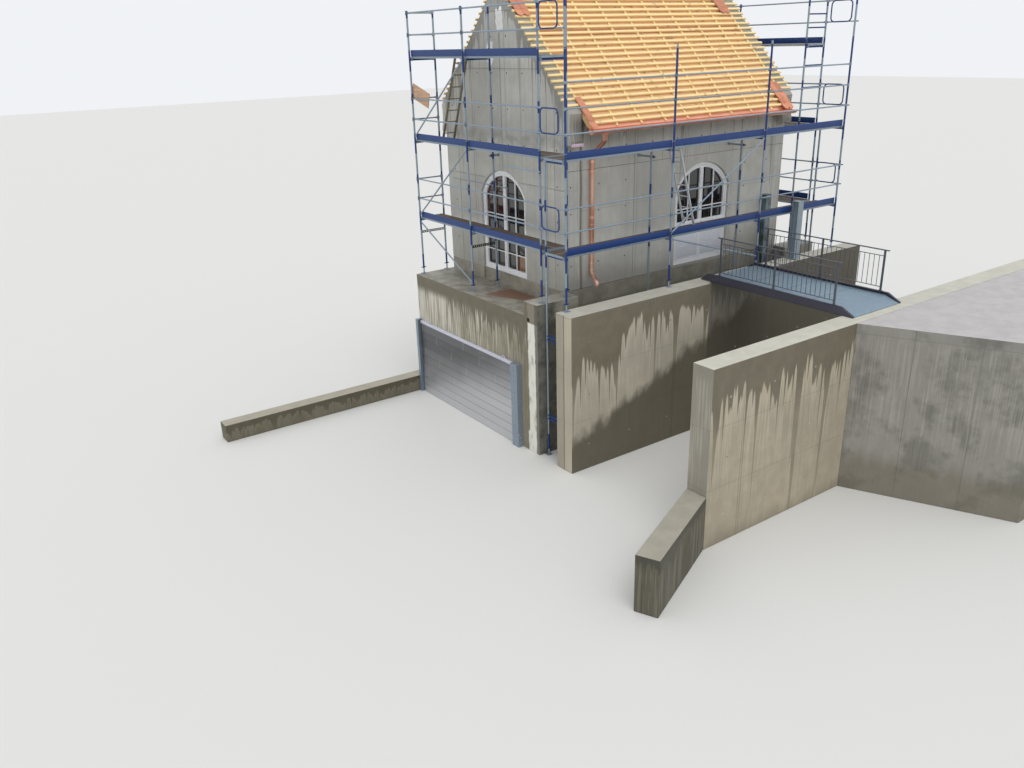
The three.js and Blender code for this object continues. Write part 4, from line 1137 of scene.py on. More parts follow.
def leaf_outline(side, half, wide, bottom, rise):
    """Closed outline (u, z) of one leaf: meeting stile, foot, hanging stile and its part of the arch."""
    inset = wide / 2
    meet = 0.006 + inset
    radius = (half * half + rise * rise) / (2 * rise)
    inner = radius - inset
    a = np.linspace(math.asin(min(1.0, (half - inset) / inner)), math.asin(meet / inner), 12)
    u = np.concatenate([[meet, half - inset], inner * np.sin(a)])
    z = np.concatenate([[bottom + inset] * 2, ARCH_SPRING + rise - radius + inner * np.cos(a)])
    return np.stack([side * u, z], 1)[::side]


def door_panels(shell, half, base, top):
    """Lower door leaves: a raised panel with a level groove, and the rail over it."""
    groove = 4.22
    section = np.array([
        [0.05, base], [0.016, base], [0.010, base + 0.012], [0.010, groove - 0.014], [0.018, groove - 0.005],
        [0.018, groove + 0.005], [0.010, groove + 0.014], [0.010, top - 0.06], [0.016, top - 0.048],
        [0.05, top - 0.048],
    ])
    for x0, x1 in ((0.04 - half, -0.05), (0.05, half - 0.04)):
        shell.bars((x0, 0, 0), (x1, 0, 0), section, 2, FLAT)
    shell.block((-half, LEAF_Y, top), (half, LEAF_Y, top), 0.054, 0.09, edge=0.008, steps=3)


def window_fittings(shell, bottom, panel_top):
    """Hinges at the jambs and a small lever by the meeting stile."""
    hinge = [
        (0, 0.006), (0.004, 0.008), (0.03, 0.008), (0.034, 0.0065), (0.036, 0.0065), (0.04, 0.008), (0.07, 0.008),
        (0.074, 0.004),
    ]
    jamb = OPENING_WIDE / 2 - 0.05
    levels = (bottom + 0.35, (bottom + ARCH_SPRING) / 2, ARCH_SPRING - 0.15)
    shell.turned([(u, 0.0, z) for u in (-jamb, jamb) for z in levels], Z, hinge, 0, 10)
    level = 4.75 if panel_top else bottom + 1.05
    rose = ((0, 0.016), (0.008, 0.016), (0.01, 0.009), (0.03, 0.009), (0.034, 0.006))
    shell.turned([(0.03, 0.01, level)], (0, -1, 0), rose, 1, 12)
    shell.block((0.03, -0.018, level + 0.006), (0.03, -0.018, level - 0.09), 0.016, 0.011, 1, Y, 0.004, 2)


class POWERHOUSE_OT_windows(Builder):
    """Joins the arched windows of both gables and the glazed door of the channel side"""

    bl_idname = "powerhouse.windows"
    bl_label = "Windows and door"

    def execute(self, context):
        look = context.scene.powerhouse_joinery
        panel = metal("door_panel_paint", look.panel, 0.35, 0.0, darker(look.panel, 0.9), 0.08, 0.3)
        finishes = [white_gloss(), zinc(), panel]
        front = arched_window(look, WALL_TOP + 0.002, None)
        front.points = [rows(HOUSE_X0 + REVEAL + p[:, 1], MID_Y - p[:, 0], p[:, 2]) for p in front.points]
        door = arched_window(look, DOOR_SILL + 0.001, DOOR_PANEL_TOP)
        door.points = [p + (DOOR_X, HOUSE_Y0 + REVEAL, 0.0) for p in door.points]
        glass = dark_panes(look)
        for word, shell in (("window_front", front), ("window_back", front.mirrored(0, MID_X)), ("door", door)):
            shell.piece(word + "_joinery", "white_wood", finishes, (word + "_frame",))
            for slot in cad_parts[word + "_glass"].material_slots:
                slot.material = glass
        return {"FINISHED"}


def slope_bars(shell, side, x0, x1, down, height, profile, rng, finish=0, spread=1.0):
    """Bars between two places on a slope."""
    starts, ends = on_slope(side, x0, down, height), on_slope(side, x1, down, height)
    tones = rng.uniform(0, spread, len(starts))
    shell.bars(starts, ends, profile, finish, up=slope_normal(side), tones=tones, chamfer=0.0015)


def roof_boards(look, side, rng):
    """Boards side by side down the slope, each in two lengths that meet over a counter-batten."""
    shell = Shell()
    x0, x1 = ROOM_X0 + 0.001, ROOM_X1 - 0.001
    count = int((SLOPE_LENGTH - 0.02) / look.board_wide)
    step = (SLOPE_LENGTH - 0.01) / count
    down = 0.06 + (np.arange(count) + 0.5) * (SLOPE_LENGTH - 0.065) / count
    joint = x0 + (x1 - x0) * rng.choice([0.25, 0.375, 0.5, 0.625, 0.75], count)
    profile = oblong(step - 0.004, 0.056, 0.003, 1)
    height = DECK_TOP - 0.03
    plain = np.arange(count) != 9
    for chosen, finish in ((plain, 0), (~plain, 1)):
        slope_bars(shell, side, x0, joint[chosen] - 0.001, down[chosen], height, profile, rng, finish)
        slope_bars(shell, side, joint[chosen] + 0.001, x1, down[chosen], height, profile, rng, finish)
    return shell


def counter_battens(look, side, rng):
    """Counter-battens down the slope, level with the underside of the battens."""
    shell = Shell()
    x = np.linspace(ROOM_X0 + 0.04, ROOM_X1 - 0.04, 10)
    x[1:-1] += rng.uniform(-0.015, 0.015, 8)
    starts, ends = (on_slope(side, x, down, DECK_TOP + 0.0152) for down in (0.06, SLOPE_LENGTH - 0.02))
    shell.block(starts, ends, look.counter_wide, 0.029, 0, slope_normal(side), 0.002, 1, rng.uniform(0, 0.8, 10))
    return shell


def roof_battens(look, side, rng):
    """Battens at the gauge, in two lengths, with uneven ends past the gables; the lowest stay between them."""
    shell = Shell()
    count = int((SLOPE_LENGTH - 0.06) / look.gauge)
    down = SLOPE_LENGTH + 0.02 - (count - np.arange(count)) * look.gauge + look.batten_wide / 2
    x0 = HOUSE_X0 - 0.04 + rng.uniform(-0.012, 0.012, count)
    x1 = HOUSE_X1 + 0.04 + rng.uniform(-0.012, 0.012, count)
    x0[-SHORT_BATTENS:] = ROOM_X0 + 0.01
    x1[-SHORT_BATTENS:] = ROOM_X1 - 0.01
    joint = MID_X + rng.choice([-2.1, -1.4, -0.7, 0.0, 0.7, 1.4, 2.1], count)
    profile = oblong(look.batten_wide, look.batten_thick, 0.003, 1)
    height = -look.batten_thick / 2 - 0.001
    slope_bars(shell, side, x0, joint - 0.002, down, height, profile, rng)
    slope_bars(shell, side, joint + 0.002, x1, down, height, profile, rng)
    return shell


class POWERHOUSE_OT_roof(Builder):
    """Lays the roof boards, counter-battens and battens of both slopes"""

    bl_idname = "powerhouse.roof"
    bl_label = "Roof timbers"

    def execute(self, context):
        look = context.scene.powerhouse_roof
        along, across = (1.2, 38.0, 38.0), (38.0, 2.0, 2.0)
        board = timber("roof_board_wood", look.board, along, 0.75, 0.8, 0.4, 0.6)
        batten = timber("batten_wood", look.batten, along, 0.7, 0.4, 0.25, 0.45)
        counter = timber("counter_batten_wood", darker(look.batten, 0.97), across, 0.7, 0.4, 0.25, 0.3)
        red = timber("tinted_board_wood", "cf9a70", along, 0.7, 0.6, 0.4, 0.3)
        for side, word in ((-1, "channel"), (1, "bank")):
            rng = np.random.default_rng(20 + side)
            roof_boards(look, side, rng).piece("roof_boards_" + word, "roof_timber", [board, red], ("roof_" + word,))
            counter_battens(look, side, rng).piece("counter_battens_" + word, "roof_timber", [counter])
            roof_battens(look, side, rng).piece("roof_battens_" + word, "roof_timber", [batten])
        return {"FINISHED"}


def tile_clay(look):
    """Clay whose colour differs from tile to tile."""
    m = Finish("tile_clay", 0.75)
    spots = m.group(mottling, Place=m.place)
    m.base = m.mix(m.tone(), darker(look.tile, 0.8), darker(look.tile, 1.3))
    m.lay(spots["Patches"], 0.35, darker(look.tile, 0.62))
    return m.close(0.002, spots["Grain"])


def plain_tile(look):
    """Tile: half width w, with the foot edge at length * (1 - share * (u/w)^2) and a slight belly."""
    uu, vv = np.meshgrid(np.linspace(-1, 1, 7), [0.0, 0.03, 0.45, 0.75, 0.93, 1.0])
    x = uu * look.tile_wide / 2
    y = vv * (look.tile_long - 0.055 * uu**2)
    belly = 0.003 * (1 - uu**2) * np.sin(math.pi * vv)
    edge = np.where((np.abs(uu) > 0.99) | (vv > 0.99) | (vv < 0.01), 0.35, 1.0)
    top = rows(x, y, belly + look.tile_thick * edge)
    low = rows(x, y, belly - look.tile_thick * (edge - 1) * 0.3)
    lines, columns = uu.shape
    n = lines * columns
    a = (np.arange(lines - 1)[:, None] * columns + np.arange(columns - 1)).reshape(-1)
    upper = np.stack([a, a + 1, a + columns + 1, a + columns], 1)
    ring = np.concatenate([
        np.arange(columns), np.arange(1, lines) * columns + columns - 1,
        (lines - 1) * columns + np.arange(columns - 2, -1, -1), np.arange(lines - 2, 0, -1) * columns,
    ])
    after = np.roll(ring, -1)
    rim = np.stack([ring, ring + n, after + n, after], 1)
    return np.concatenate([top.reshape(-1, 3), low.reshape(-1, 3)]), [upper, upper[:, ::-1] + n, rim]


def tile_stack(shell, look, x0, columns, lines, first_row, seed):
    """Rows of tiles at the batten gauge on the channel slope, each leaning on the row below."""
    rng = np.random.default_rng(seed)
    points, blocks = plain_tile(look)
    row, column = (grid.ravel() for grid in np.meshgrid(np.arange(lines), np.arange(columns), indexing="ij"))
    count = len(row)
    down = SLOPE_LENGTH + 0.07 - (row + first_row) * look.gauge - look.tile_long + rng.uniform(-0.004, 0.004, count)
    x = x0 + (column + 0.5) * (look.tile_wide + 0.003) + rng.uniform(-0.003, 0.003, count)
    lean = math.atan2(2.0 * look.tile_thick, look.tile_long)
    normal = slope_normal(-1)
    fall = np.array([0.0, -math.cos(PITCH), -math.sin(PITCH)])
    down_axis = fall * math.cos(lean) + normal * math.sin(lean)
    out_axis = normal * math.cos(lean) - fall * math.sin(lean)
    turn = np.stack([np.array(X), down_axis, out_axis], 1)
    blocks = [block[:, ::-1] for block in blocks]
    whole = on_slope(-1, x, down, 0.001)[:, None] + np.einsum("ij,nj->ni", turn, points)
    shell.add_many(whole, blocks, len(points), 0, np.repeat(rng.uniform(0, 1, count), len(points)))


class POWERHOUSE_OT_tiles(Builder):
    """Hangs the first plain tiles on the battens at the verges and the eaves"""

    bl_idname = "powerhouse.tiles"
    bl_label = "Roof tiles"

    def execute(self, context):
        look = context.scene.powerhouse_roof
        clay = tile_clay(look)
        far = ROOM_X1 - 0.03 - 2 * look.tile_wide - 0.004
        clusters = (
            ("near", "front", ((ROOM_X0 - 0.03, 1, 4, 0, 3), (HOUSE_X0 + 0.02, 2, 2, 19, 7))),
            ("far", "back", ((far, 2, 4, 0, 4), (far - 0.08, 2, 2, 19, 8))),
        )
        for word, node, stacks in clusters:
            shell = Shell()
            for stack in stacks:
                tile_stack(shell, look, *stack)
            shell.piece("eaves_tiles_" + word, "clay", [clay], ("eaves_tiles_" + node,))
        return {"FINISHED"}


def copper_sheet(name, look, roughness, dull):
    """New copper: salmon, with darker handled patches, pale pink patches of painted sheen, and drawn lines."""
    m = Finish(name, roughness, 0.6)
    marks = m.group(scuffs, Place=m.place)
    m.base = m.mix(dull, look.copper, look.copper_dark)
    m.lay(marks["Rubbed"], 0.25 + 0.35 * dull, darker(look.copper_dark, 0.75))
    # Pale pink noise patches: painted sheen on the copper.
    m.lay(m.span(m.noise(m.place, 1.4, 2), 0.45, 0.7), 0.5, "fbd3c0")
    return m.close(0.0005, marks["Fine"], marks["Fine"] * 0.2 + (roughness - 0.05))


def half_round_gutter(look):
    """Half-round sheet: arc of the gutter radius from back to front, with a rolled bead on the front edge."""
    shell = Shell()
    low, high = plan_box("gutter_channel")
    r, bead = look.gutter_radius, 0.009
    x0, x1, y, lip = low[0], high[0], (low[1] + high[1]) / 2, high[2]
    a = np.linspace(math.pi, 2 * math.pi, 19)
    shell.bars((x0, y, lip), (x1, y, lip), gutter_section(r, bead), 0, FLAT)
    for x in (x0 + 0.001, x1 - 0.004):
        shell.bars((x, y, lip), (x + 0.003, y, lip), arc(r, a), 0, FLAT)
    strap = rows(0.0, y + (r + 0.003) * np.cos(a), lip + (r + 0.003) * np.sin(a))
    for x in np.linspace(x0 + 0.25, x1 - 0.25, 9):
        x += 0.25 * (abs(x - PIPE_X) < 0.15)
        shell.sweep(strap + (x, 0, 0), oblong(0.004, 0.026, 0.0015, 1), X)
    for x in np.arange(x0 + 2.2, x1 - 0.5, 2.2):
        shell.bars((x, y, lip), (x + 0.06, y, lip), gutter_section(r + 0.0025, bead + 0.0015), 0, FLAT)
    fold = on_slope(-1, 0.0, SLOPE_LENGTH + np.array([-0.1, 0.004, 0.012]), DECK_TOP + np.array([0.003, 0.003, -0.035]))
    sheet = np.concatenate([fold[:, 1:], (fold[:, 1:] - (0.0, 0.0025))[::-1]])[::-1]
    shell.bars((x0, 0.0, 0.0), (x1, 0.0, 0.0), sheet, 0, FLAT)
    funnel = ((0.0, 0.082), (0.004, 0.084), (0.02, 0.08), (0.09, 0.056), (0.1, 0.056), (0.105, 0.053), (0.15, 0.052))
    shell.turned([(PIPE_X, y, low[2] + 0.004)], (0, 0, -1), funnel, 0, 24)
    return shell


def gutter_section(r, bead, thick=0.0028):
    """Closed section of the rolled sheet: outside arc, back edge, inside arc, bead over the front edge."""
    a = np.linspace(math.pi, 2 * math.pi, 17)
    outside = arc(r, a)
    inside = outside[::-1] * (r - thick) / r
    t = np.linspace(-0.15 * math.pi, 1.25 * math.pi, 9)
    front = arc(bead, t) + (bead - r, bead * 0.2)
    return np.concatenate([outside, [[r, 0.018], [r - thick, 0.018]], inside[:-1], front])


def bent_downpipe(look):
    """Pipe along its bends, with sleeves at the joints and clips to the wall."""
    shell = Shell()
    top = plan_box("downpipe_channel")[1][2]
    gutter_low, gutter_high = plan_box("gutter_channel")
    r, x = look.pipe_radius - 0.002, PIPE_X
    y_top, wall_y, foot_y = (gutter_low[1] + gutter_high[1]) / 2, HOUSE_Y0 - 0.08, HOUSE_Y0 - 0.27
    corners = [(x, y_top, top), (x, y_top, top - 0.15), (x, wall_y, top - 0.48), (x, wall_y, 4.05),
               (x, foot_y, 3.88), (x, foot_y, 3.79)]
    shell.sweep(rounded_path(corners, 0.058, 6), circle(r, 20), X)
    shell.sweep(rounded_path(corners[3:], 0.058, 6)[2:-1], circle(r + 0.0015, 20), X, 1)
    shell.turned(rows(x, wall_y, (6.6, 5.35, 4.12)), Z, sleeve(r, 0.06, 0.0035), 1, 20)
    shell.turned([(x, foot_y, 3.79)], Z, sleeve(r - 0.001, 0.014, 0.003), 1, 20)
    for z in (6.4, 5.2, 4.3):
        shell.turned([(x, wall_y, z)], Z, sleeve(r, 0.026, 0.005), 1, 20)
        shell.tubes((x, wall_y + r, z + 0.013), (x, HOUSE_Y0 + 0.01, z + 0.013), 0.006, 1, 8)
        for ear in (-0.068, 0.068):
            shell.block((x + ear, wall_y, z + 0.002), (x + ear, wall_y, z + 0.024), 0.02, 0.02, 1, Y)
    return shell


class POWERHOUSE_OT_copper(Builder):
    """Rolls the gutters with their brackets, funnels and drip flashing, and the downpipes"""

    bl_idname = "powerhouse.copper"
    bl_label = "Gutters and downpipes"

    def execute(self, context):
        look = context.scene.powerhouse_metal
        bright = copper_sheet("bright_copper", look, 0.34, 0.1)
        dull = copper_sheet("handled_copper", look, 0.36, 0.7)
        gutter, pipe = half_round_gutter(look), bent_downpipe(look)
        for word, g, p in (("channel", gutter, pipe), ("bank", gutter.mirrored(1, MID_Y), pipe.mirrored(1, MID_Y))):
            g.piece("gutter_%s_copper" % word, "copper", [bright, dull], ("gutter_" + word,))
            p.piece("downpipe_%s_copper" % word, "copper", [dull, bright], ("downpipe_" + word,))
        return {"FINISHED"}


def log_finish(look, foot, step):
    """Brushed aluminium: a dark reflection over the upper bank end, light below, and a seam in every log."""
    m = Finish("brushed_aluminium", 0.42, 0.5)
    body = look.aluminium
    _, y, z = m.split(m.place)
    fine = m.noise(m.scaled(m.place, (2.0, 2.0, 120.0)), 1.0, 2)
    m.base = m.mix(fine, darker(body, 1.15), darker(body, 1.4))
    diagonal = (z - foot) / 2.1 + (y - 0.9) / 5.0 * 0.62
    m.lay(m.span(diagonal + m.noise(m.place, 0.9, 2) * 0.2, 0.62, 1.35), 0.95, darker(body, 0.2))
    m.lay(m.tone(), 0.18, darker(body, 0.75))
    joints = m.group(repeat_lines, Value=z, First=foot, Pitch=step, Width=0.016)
    m.lay(joints["Lines"], 0.45, darker(body, 0.3))
    row = m.math("FLOOR", (z - foot) / step)
    seams = m.group(repeat_lines, Value=y + row * 1.37, Pitch=2.1, Width=0.012)
    m.lay(seams["Lines"], 0.3, "d8dade")
    m.lay(m.group(scuffs, Place=m.place)["Rubbed"], 0.2, "c8ccd0")
    return m.close(0.0006, fine, fine * 0.2 + 0.36)


def log_section(thick, high):
    """Log section: a flat plank with rounded meeting edges, drawn in along a shallow groove."""
    u, v = thick / 2, high / 2
    return np.array([
        [u, v - 0.008], [u - 0.008, v], [-u + 0.008, v], [-u, v - 0.008], [-u, v * 0.35], [-u + 0.003, v * 0.3],
        [-u + 0.003, -v * 0.3], [-u, -v * 0.35], [-u, -v + 0.008], [-u + 0.008, -v], [u - 0.008, -v],
        [u, -v + 0.008],
    ])


def log_post(node, sense):
    """Guide post: a U section, wrapped round the log ends, with a cap plate and bolts."""
    low, high = plan_box(node)
    shell = Shell()
    x, y = (low[0] + high[0]) / 2, (low[1] + high[1]) / 2
    u, v, wall = (high[0] - low[0]) / 2, (high[1] - low[1]) / 2, 0.012
    section = np.array([
        [-u, -v], [u, -v], [u, v], [u - wall, v], [u - wall, v * 0.25], [-u + wall, v * 0.25], [-u + wall, v], [-u, v],
    ])
    if sense > 0:
        section = (section * (1, -1))[::-1]
    shell.bars((x, y, low[2]), (x, y, high[2]), section, 0, FLAT, Y)
    bolts = rows(low[0], y, np.linspace(0.25, high[2] - 0.15, 7))
    shell.turned(bolts, (-1, 0, 0), bolt(0.01), 1, 6)
    shell.block((x, y, high[2] - 0.004), (x, y, high[2] + 0.004), 2 * u + 0.004, 2 * v + 0.004, 0, Y, 0.004, 2)
    return shell


class POWERHOUSE_OT_stop_logs(Builder):
    """Stacks the aluminium stop logs between their guide posts"""

    bl_idname = "powerhouse.stop_logs"
    bl_label = "Stop logs"

    def execute(self, context):
        look = context.scene.powerhouse_metal
        low, high = plan_box("stop_logs")
        count, thick, middle = look.log_count, high[0] - low[0], (low[0] + high[0]) / 2
        cap_high = 0.075
        step = (high[2] - low[2] - cap_high) / count
        level = low[2] + (np.arange(count) + 0.5) * step
        starts = rows(middle, low[1] + 0.002, level)
        ends = starts + (0.0, high[1] - low[1] - 0.004, 0.0)
        shell = Shell()
        tones = np.random.default_rng(11).uniform(0, 1, count)
        shell.bars(starts, ends, log_section(thick, step), 0, FLAT, tones=tones)
        cap_z = high[2] - cap_high / 2
        shell.block(
            (middle - 0.003, low[1] + 0.002, cap_z), (middle - 0.003, high[1] - 0.002, cap_z),
            thick + 0.005, cap_high - 0.001, 1, edge=0.005, steps=2,
        )
        for y in (low[1] + 0.45, high[1] - 0.45):
            z0, z1 = high[2] - 0.01, high[2] + 0.05
            loop = [(middle, y - 0.06, z0), (middle, y - 0.06, z1), (middle, y + 0.06, z1), (middle, y + 0.06, z0)]
            shell.sweep(rounded_path(loop, 0.03, 5), circle(0.008, 10), X, 1)
        cap = metal("cap_aluminium", "d3d4e2", 0.4, 0.3, "eceef4", 0.1, 0.4)
        shell.piece("stop_log_stack", "aluminium", [log_finish(look, low[2], step), cap], ("stop_logs",))
        post_finish = metal("post_aluminium", "93a0ae", 0.38, 0.5, "cdd4e2", 0.3, 0.6)
        for node, sense in (("stop_log_post_pier", -1), ("stop_log_post_bank", 1)):
            log_post(node, sense).piece(node + "_channel", "aluminium", [post_finish, zinc()], (node,))
        return {"FINISHED"}


def bridge_girder(node, flip):
    """Channel girder: a web plate in the side view's outline, and flanges carried along its top and bottom."""
    low, high = plan_box(node)
    shell = Shell()
    z0, x, wide = low[2], (low[0] + high[0]) / 2, high[0] - low[0]
    line = np.array([(RAMP_END, z0 + 0.03), (RAMP_TOP, z0 + 0.18), (LEVEL_END, z0 + 0.18), (BRIDGE_END, z0 + 0.03)])
    outline = np.concatenate([[(RAMP_END, z0), (BRIDGE_END, z0)], line[::-1]])
    web = high[0] - 0.004 if flip else low[0] + 0.004
    shell.bars((web - 0.004, 0, 0), (web + 0.004, 0, 0), outline, 0, FLAT)
    shell.sweep(rows(x, line[:, 0], line[:, 1] - 0.004), oblong(0.008, wide, 0.002, 1), X)
    shell.block((x, RAMP_END, z0 + 0.004), (x, BRIDGE_END, z0 + 0.004), wide, 0.008, edge=0.002)
    rib = rows(x, np.linspace(-3.9, -0.6, 8), z0 + 0.008)
    shell.block(rib, rib + (0, 0, 0.164), wide - 0.012, 0.006, 0, Y, 0.001)
    shell.turned([(x, -4.3, z0 + 0.008), (x, -0.29, z0 + 0.008)], Z, bolt(0.01), 1, 6)
    return shell


def bridge_deck():
    """Walking plate folded at the ramps, with cross bearers under it and a raised tread pattern."""
    low, high = plan_box("bridge_deck")
    shell = Shell()
    x0, x1, top = low[0] + 0.001, high[0] - 0.001, high[2]
    line = ((RAMP_END, low[2] + 0.008), (RAMP_TOP, top - 0.006), (LEVEL_END, top - 0.006), (BRIDGE_END, low[2] + 0.008))
    path = np.array([((x0 + x1) / 2, y, z) for y, z in line])
    shell.sweep(path, oblong(0.010, x1 - x0, 0.002, 1), X)
    for y in (-3.2, -2.3, -1.4):
        shell.block((x0, y, top - 0.0008), (x1, y, top - 0.0008), 0.010, 0.003, 1, edge=0.001)
    for x in (x0 + 0.006, x1 - 0.006):
        shell.block((x, -4.07, top + 0.006), (x, -0.44, top + 0.006), 0.01, 0.016)
    bearer = rows(x0, np.linspace(-3.95, -0.55, 6), top - 0.042)
    shell.block(bearer, bearer + (x1 - x0, 0, 0), 0.05, 0.058, 1, edge=0.006)
    pitch, reach = 0.075, 0.014
    grid = np.meshgrid(np.arange(x0 + 0.05, x1 - 0.03, pitch), np.arange(-4.03, -0.47, pitch), indexing="ij")
    xs, ys = (values.ravel() for values in grid)
    turn = np.where((np.round((xs - x0) / pitch) + np.round(ys / pitch)) % 2 > 0.5, 1.0, -1.0)
    middle, half = rows(xs, ys, top - 0.001), rows(reach, reach * turn, 0.0)
    lozenge = np.array([[-0.005, -0.001], [0.005, -0.001], [0.0, 0.0018]])
    shell.bars(middle - half, middle + half, lozenge, 0, ((0, 0, 0.1, 0.5), (0.5, 0, 1, 1), (1, 0, 0.1, 0.5)))
    return shell


def bridge_rail(look, node):
    """Rail: flat posts on foot plates, level rails, round balusters between them and a flat handrail."""
    low, high = plan_box(node)
    shell = Shell()
    x, foot, top = (low[0] + high[0]) / 2, low[2], high[2]
    y0, middle, y1 = -3.89, -2.325, -0.76
    posts = rows(x, (y0, middle, y1), foot)
    shell.block(posts, posts + (0, 0, top - foot - 0.02), 0.016, 0.05, 0, Y, 0.002)
    shell.block(posts, posts + (0, 0, 0.01), 0.05, 0.11, 0, Y, 0.004)
    for sense in (-0.042, 0.042):
        shell.turned(posts + (0, sense, 0.01), Z, bolt(0.007), 1, 6)
    shell.block((x, y0 - 0.1, top - 0.011), (x, y1 + 0.1, top - 0.011), 0.041, 0.022, edge=0.006, steps=2)
    for z in (top - 0.14, foot + 0.09):
        shell.block((x, y0, z), (x, y1, z), 0.03, 0.012)
    y = np.arange(y0 + 0.12, y1 - 0.05, 0.12)
    bottom = rows(x, y[np.abs(y - middle) > 0.03], foot + 0.09)
    shell.tubes(bottom, bottom + (0, 0, top - foot - 0.23), look.baluster, 0, 8)
    return shell


class POWERHOUSE_OT_footbridge(Builder):
    """Builds the footbridge: girders, folded deck plate, posts, rails and balusters"""

    bl_idname = "powerhouse.footbridge"
    bl_label = "Footbridge"

    def execute(self, context):
        look = context.scene.powerhouse_metal
        dark = metal("girder_paint", look.girder, 0.45, 0.2, "6f6e7c", 0.15, 0.4)
        brown = metal("rail_paint", look.rail, 0.45, 0.2, "6f6668", 0.15, 0.4)
        plate = metal("deck_plate", look.plate, 0.5, 0.25, "a9b8c4", 0.15, 0.5)
        for word in ("outlet", "inlet"):
            girder, rail = "bridge_girder_" + word, "bridge_rail_" + word
            shell = bridge_girder(girder, word == "inlet")
            shell.piece("footbridge_girder_" + word, "dark_steel", [dark, zinc()], (girder,))
            bridge_rail(look, rail).piece("footbridge_rail_" + word, "dark_steel", [brown, zinc()], (rail,))
        bridge_deck().piece("footbridge_deck", "pale_steel", [plate, dark], ("bridge_deck",))
        return {"FINISHED"}


def weathered_zinc():
    """Dull zinc with brown spots."""
    m = Finish("weathered_gate_zinc", 0.55, 0.3)
    spots = m.group(mottling, Place=m.place)
    m.base = m.mix(spots["Patches"], "64757a", "93a3aa")
    m.lay(m.span(m.noise(m.place, 4.0, 3), 0.52, 0.6), 0.5, "5c5246")
    return m.close(0.001, spots["Grain"])


def gate_column(node):
    """H section with arcs at the roots, a foot plate or wall plates, and a cap."""
    low, high = plan_box(node)
    shell = Shell()
    x, y = (low[0] + high[0]) / 2, (low[1] + high[1]) / 2
    half, flange, web, root = 0.1, 0.015, 0.0045, 0.014
    bend = arc(root, np.linspace(math.pi, math.pi / 2, 4)) + (web + root, half - flange - root)
    quarter = np.concatenate([bend, [[half, half - flange], [half, half]]])
    left = (quarter * (-1, 1))[::-1]
    section = np.concatenate([quarter, left, (left * (1, -1))[::-1], (quarter * (1, -1))[::-1]])
    shell.bars((x, y, low[2]), (x, y, high[2] - 0.004), section, up=Y)
    shell.block((x, y, high[2] - 0.012), (x, y, high[2]), 0.206, 0.206, 0, Y, 0.006, 2)
    if low[2] > 3.5:
        shell.block((x, y, low[2]), (x, y, low[2] + 0.018), 0.27, 0.24, 0, Y, 0.006, 2)
        corners = [(x + a, y + b, low[2] + 0.018) for a in (-0.115, 0.115) for b in (-0.095, 0.095)]
        shell.turned(corners, Z, bolt(0.012), 0, 6)
    else:
        face = HOUSE_Y0 - 0.006
        for z in (3.2, 3.55, 4.4, 5.0):
            shell.block((x - 0.15, face, z), (x + 0.15, face, z), 0.012, 0.09)
            shell.turned([(x - 0.13, face - 0.006, z), (x + 0.13, face - 0.006, z)], (0, -1, 0), bolt(0.012), 0, 6)
    return shell


class POWERHOUSE_OT_gate_posts(Builder):
    """Stands the galvanised gate columns with their plates and bolts"""

    bl_idname = "powerhouse.gate_posts"
    bl_label = "Gate posts"

    def execute(self, context):
        light = metal("gate_zinc", "95a4ae", 0.45, 0.4, "b9c6ce", 0.2, 0.5)
        for node, finish in (("gate_post_wall", light), ("gate_post_house", weathered_zinc())):
            gate_column(node).piece(node + "_column", "galvanised", [finish], (node,))
        return {"FINISHED"}


def gable_row(look):
    """Outer row before a gable, with a closed guard at its channel end and rails at the other."""
    shell = Shell()
    first, middle, last = ROWS_Y
    for y in ROWS_Y:
        post(shell, look, ROW_X, y, base_level(y), POST_TOP, LIFTS)
    inner = ROW_X + look.tube + look.toe_thick / 2 + 0.002
    for lift in LIFTS:
        for y0, y1 in ((first, middle), (middle, last)):
            toe_board(shell, look, (inner, y0 + 0.03, lift), (inner, y1 - 0.03, lift))
            for z in (lift + 0.5, lift + 1.0):
                guard_rail(shell, look, (ROW_X, y0, z), (ROW_X, y1, z))
        for z in (lift + 0.5, lift + 1.0):
            guard_rail(shell, look, (ROW_X, last, z), (INNER_X, last, z))
        end_guard(shell, look, lift)
    brace(shell, (ROW_X, last, LIFTS[0] - 0.12), (ROW_X, middle, TERRACE + 0.2), X)
    for low, high in zip(LIFTS[:-1], LIFTS[1:]):
        brace(shell, (ROW_X, last, low + 0.06), (ROW_X, middle, high - 0.06), X)
    for y in ROWS_Y[1:]:
        punched_bar(shell, (ROW_X, y, 4.5), (INNER_X, y, 4.5))
    return shell


def end_guard(shell, look, lift):
    """Closed guard: a rounded loop of tube hung beside the first post, held by short tubes."""
    x = ROW_X - look.tube - 0.018
    y0, y1 = 0.0, 0.6
    outline = oblong(y1 - y0, 0.5, 0.11, 6) + ((y0 + y1) / 2, lift + 0.75)
    shell.sweep(rows(x, outline[:, 0], outline[:, 1]), circle(GUARD_TUBE, 10), X, 1, True)
    for z in (lift + 0.5, lift + 1.0):
        shell.tubes((x, y1 - 0.06, z), (x, ROWS_Y[0] + 0.03, z), GUARD_TUBE, 0, 10)
        shell.block((x - 0.02, ROWS_Y[0], z), (ROW_X + 0.02, ROWS_Y[0], z), 0.05, 0.05, edge=0.008, steps=2)
    held = (0.5, 1.0) if lift == LIFTS[0] else (0.5,)
    for z in held:
        shell.tubes((x, y0 + 0.06, lift + z), (x, SIDE_Y - 0.03, lift + z), GUARD_TUBE, 0, 10, hollow=0.02)


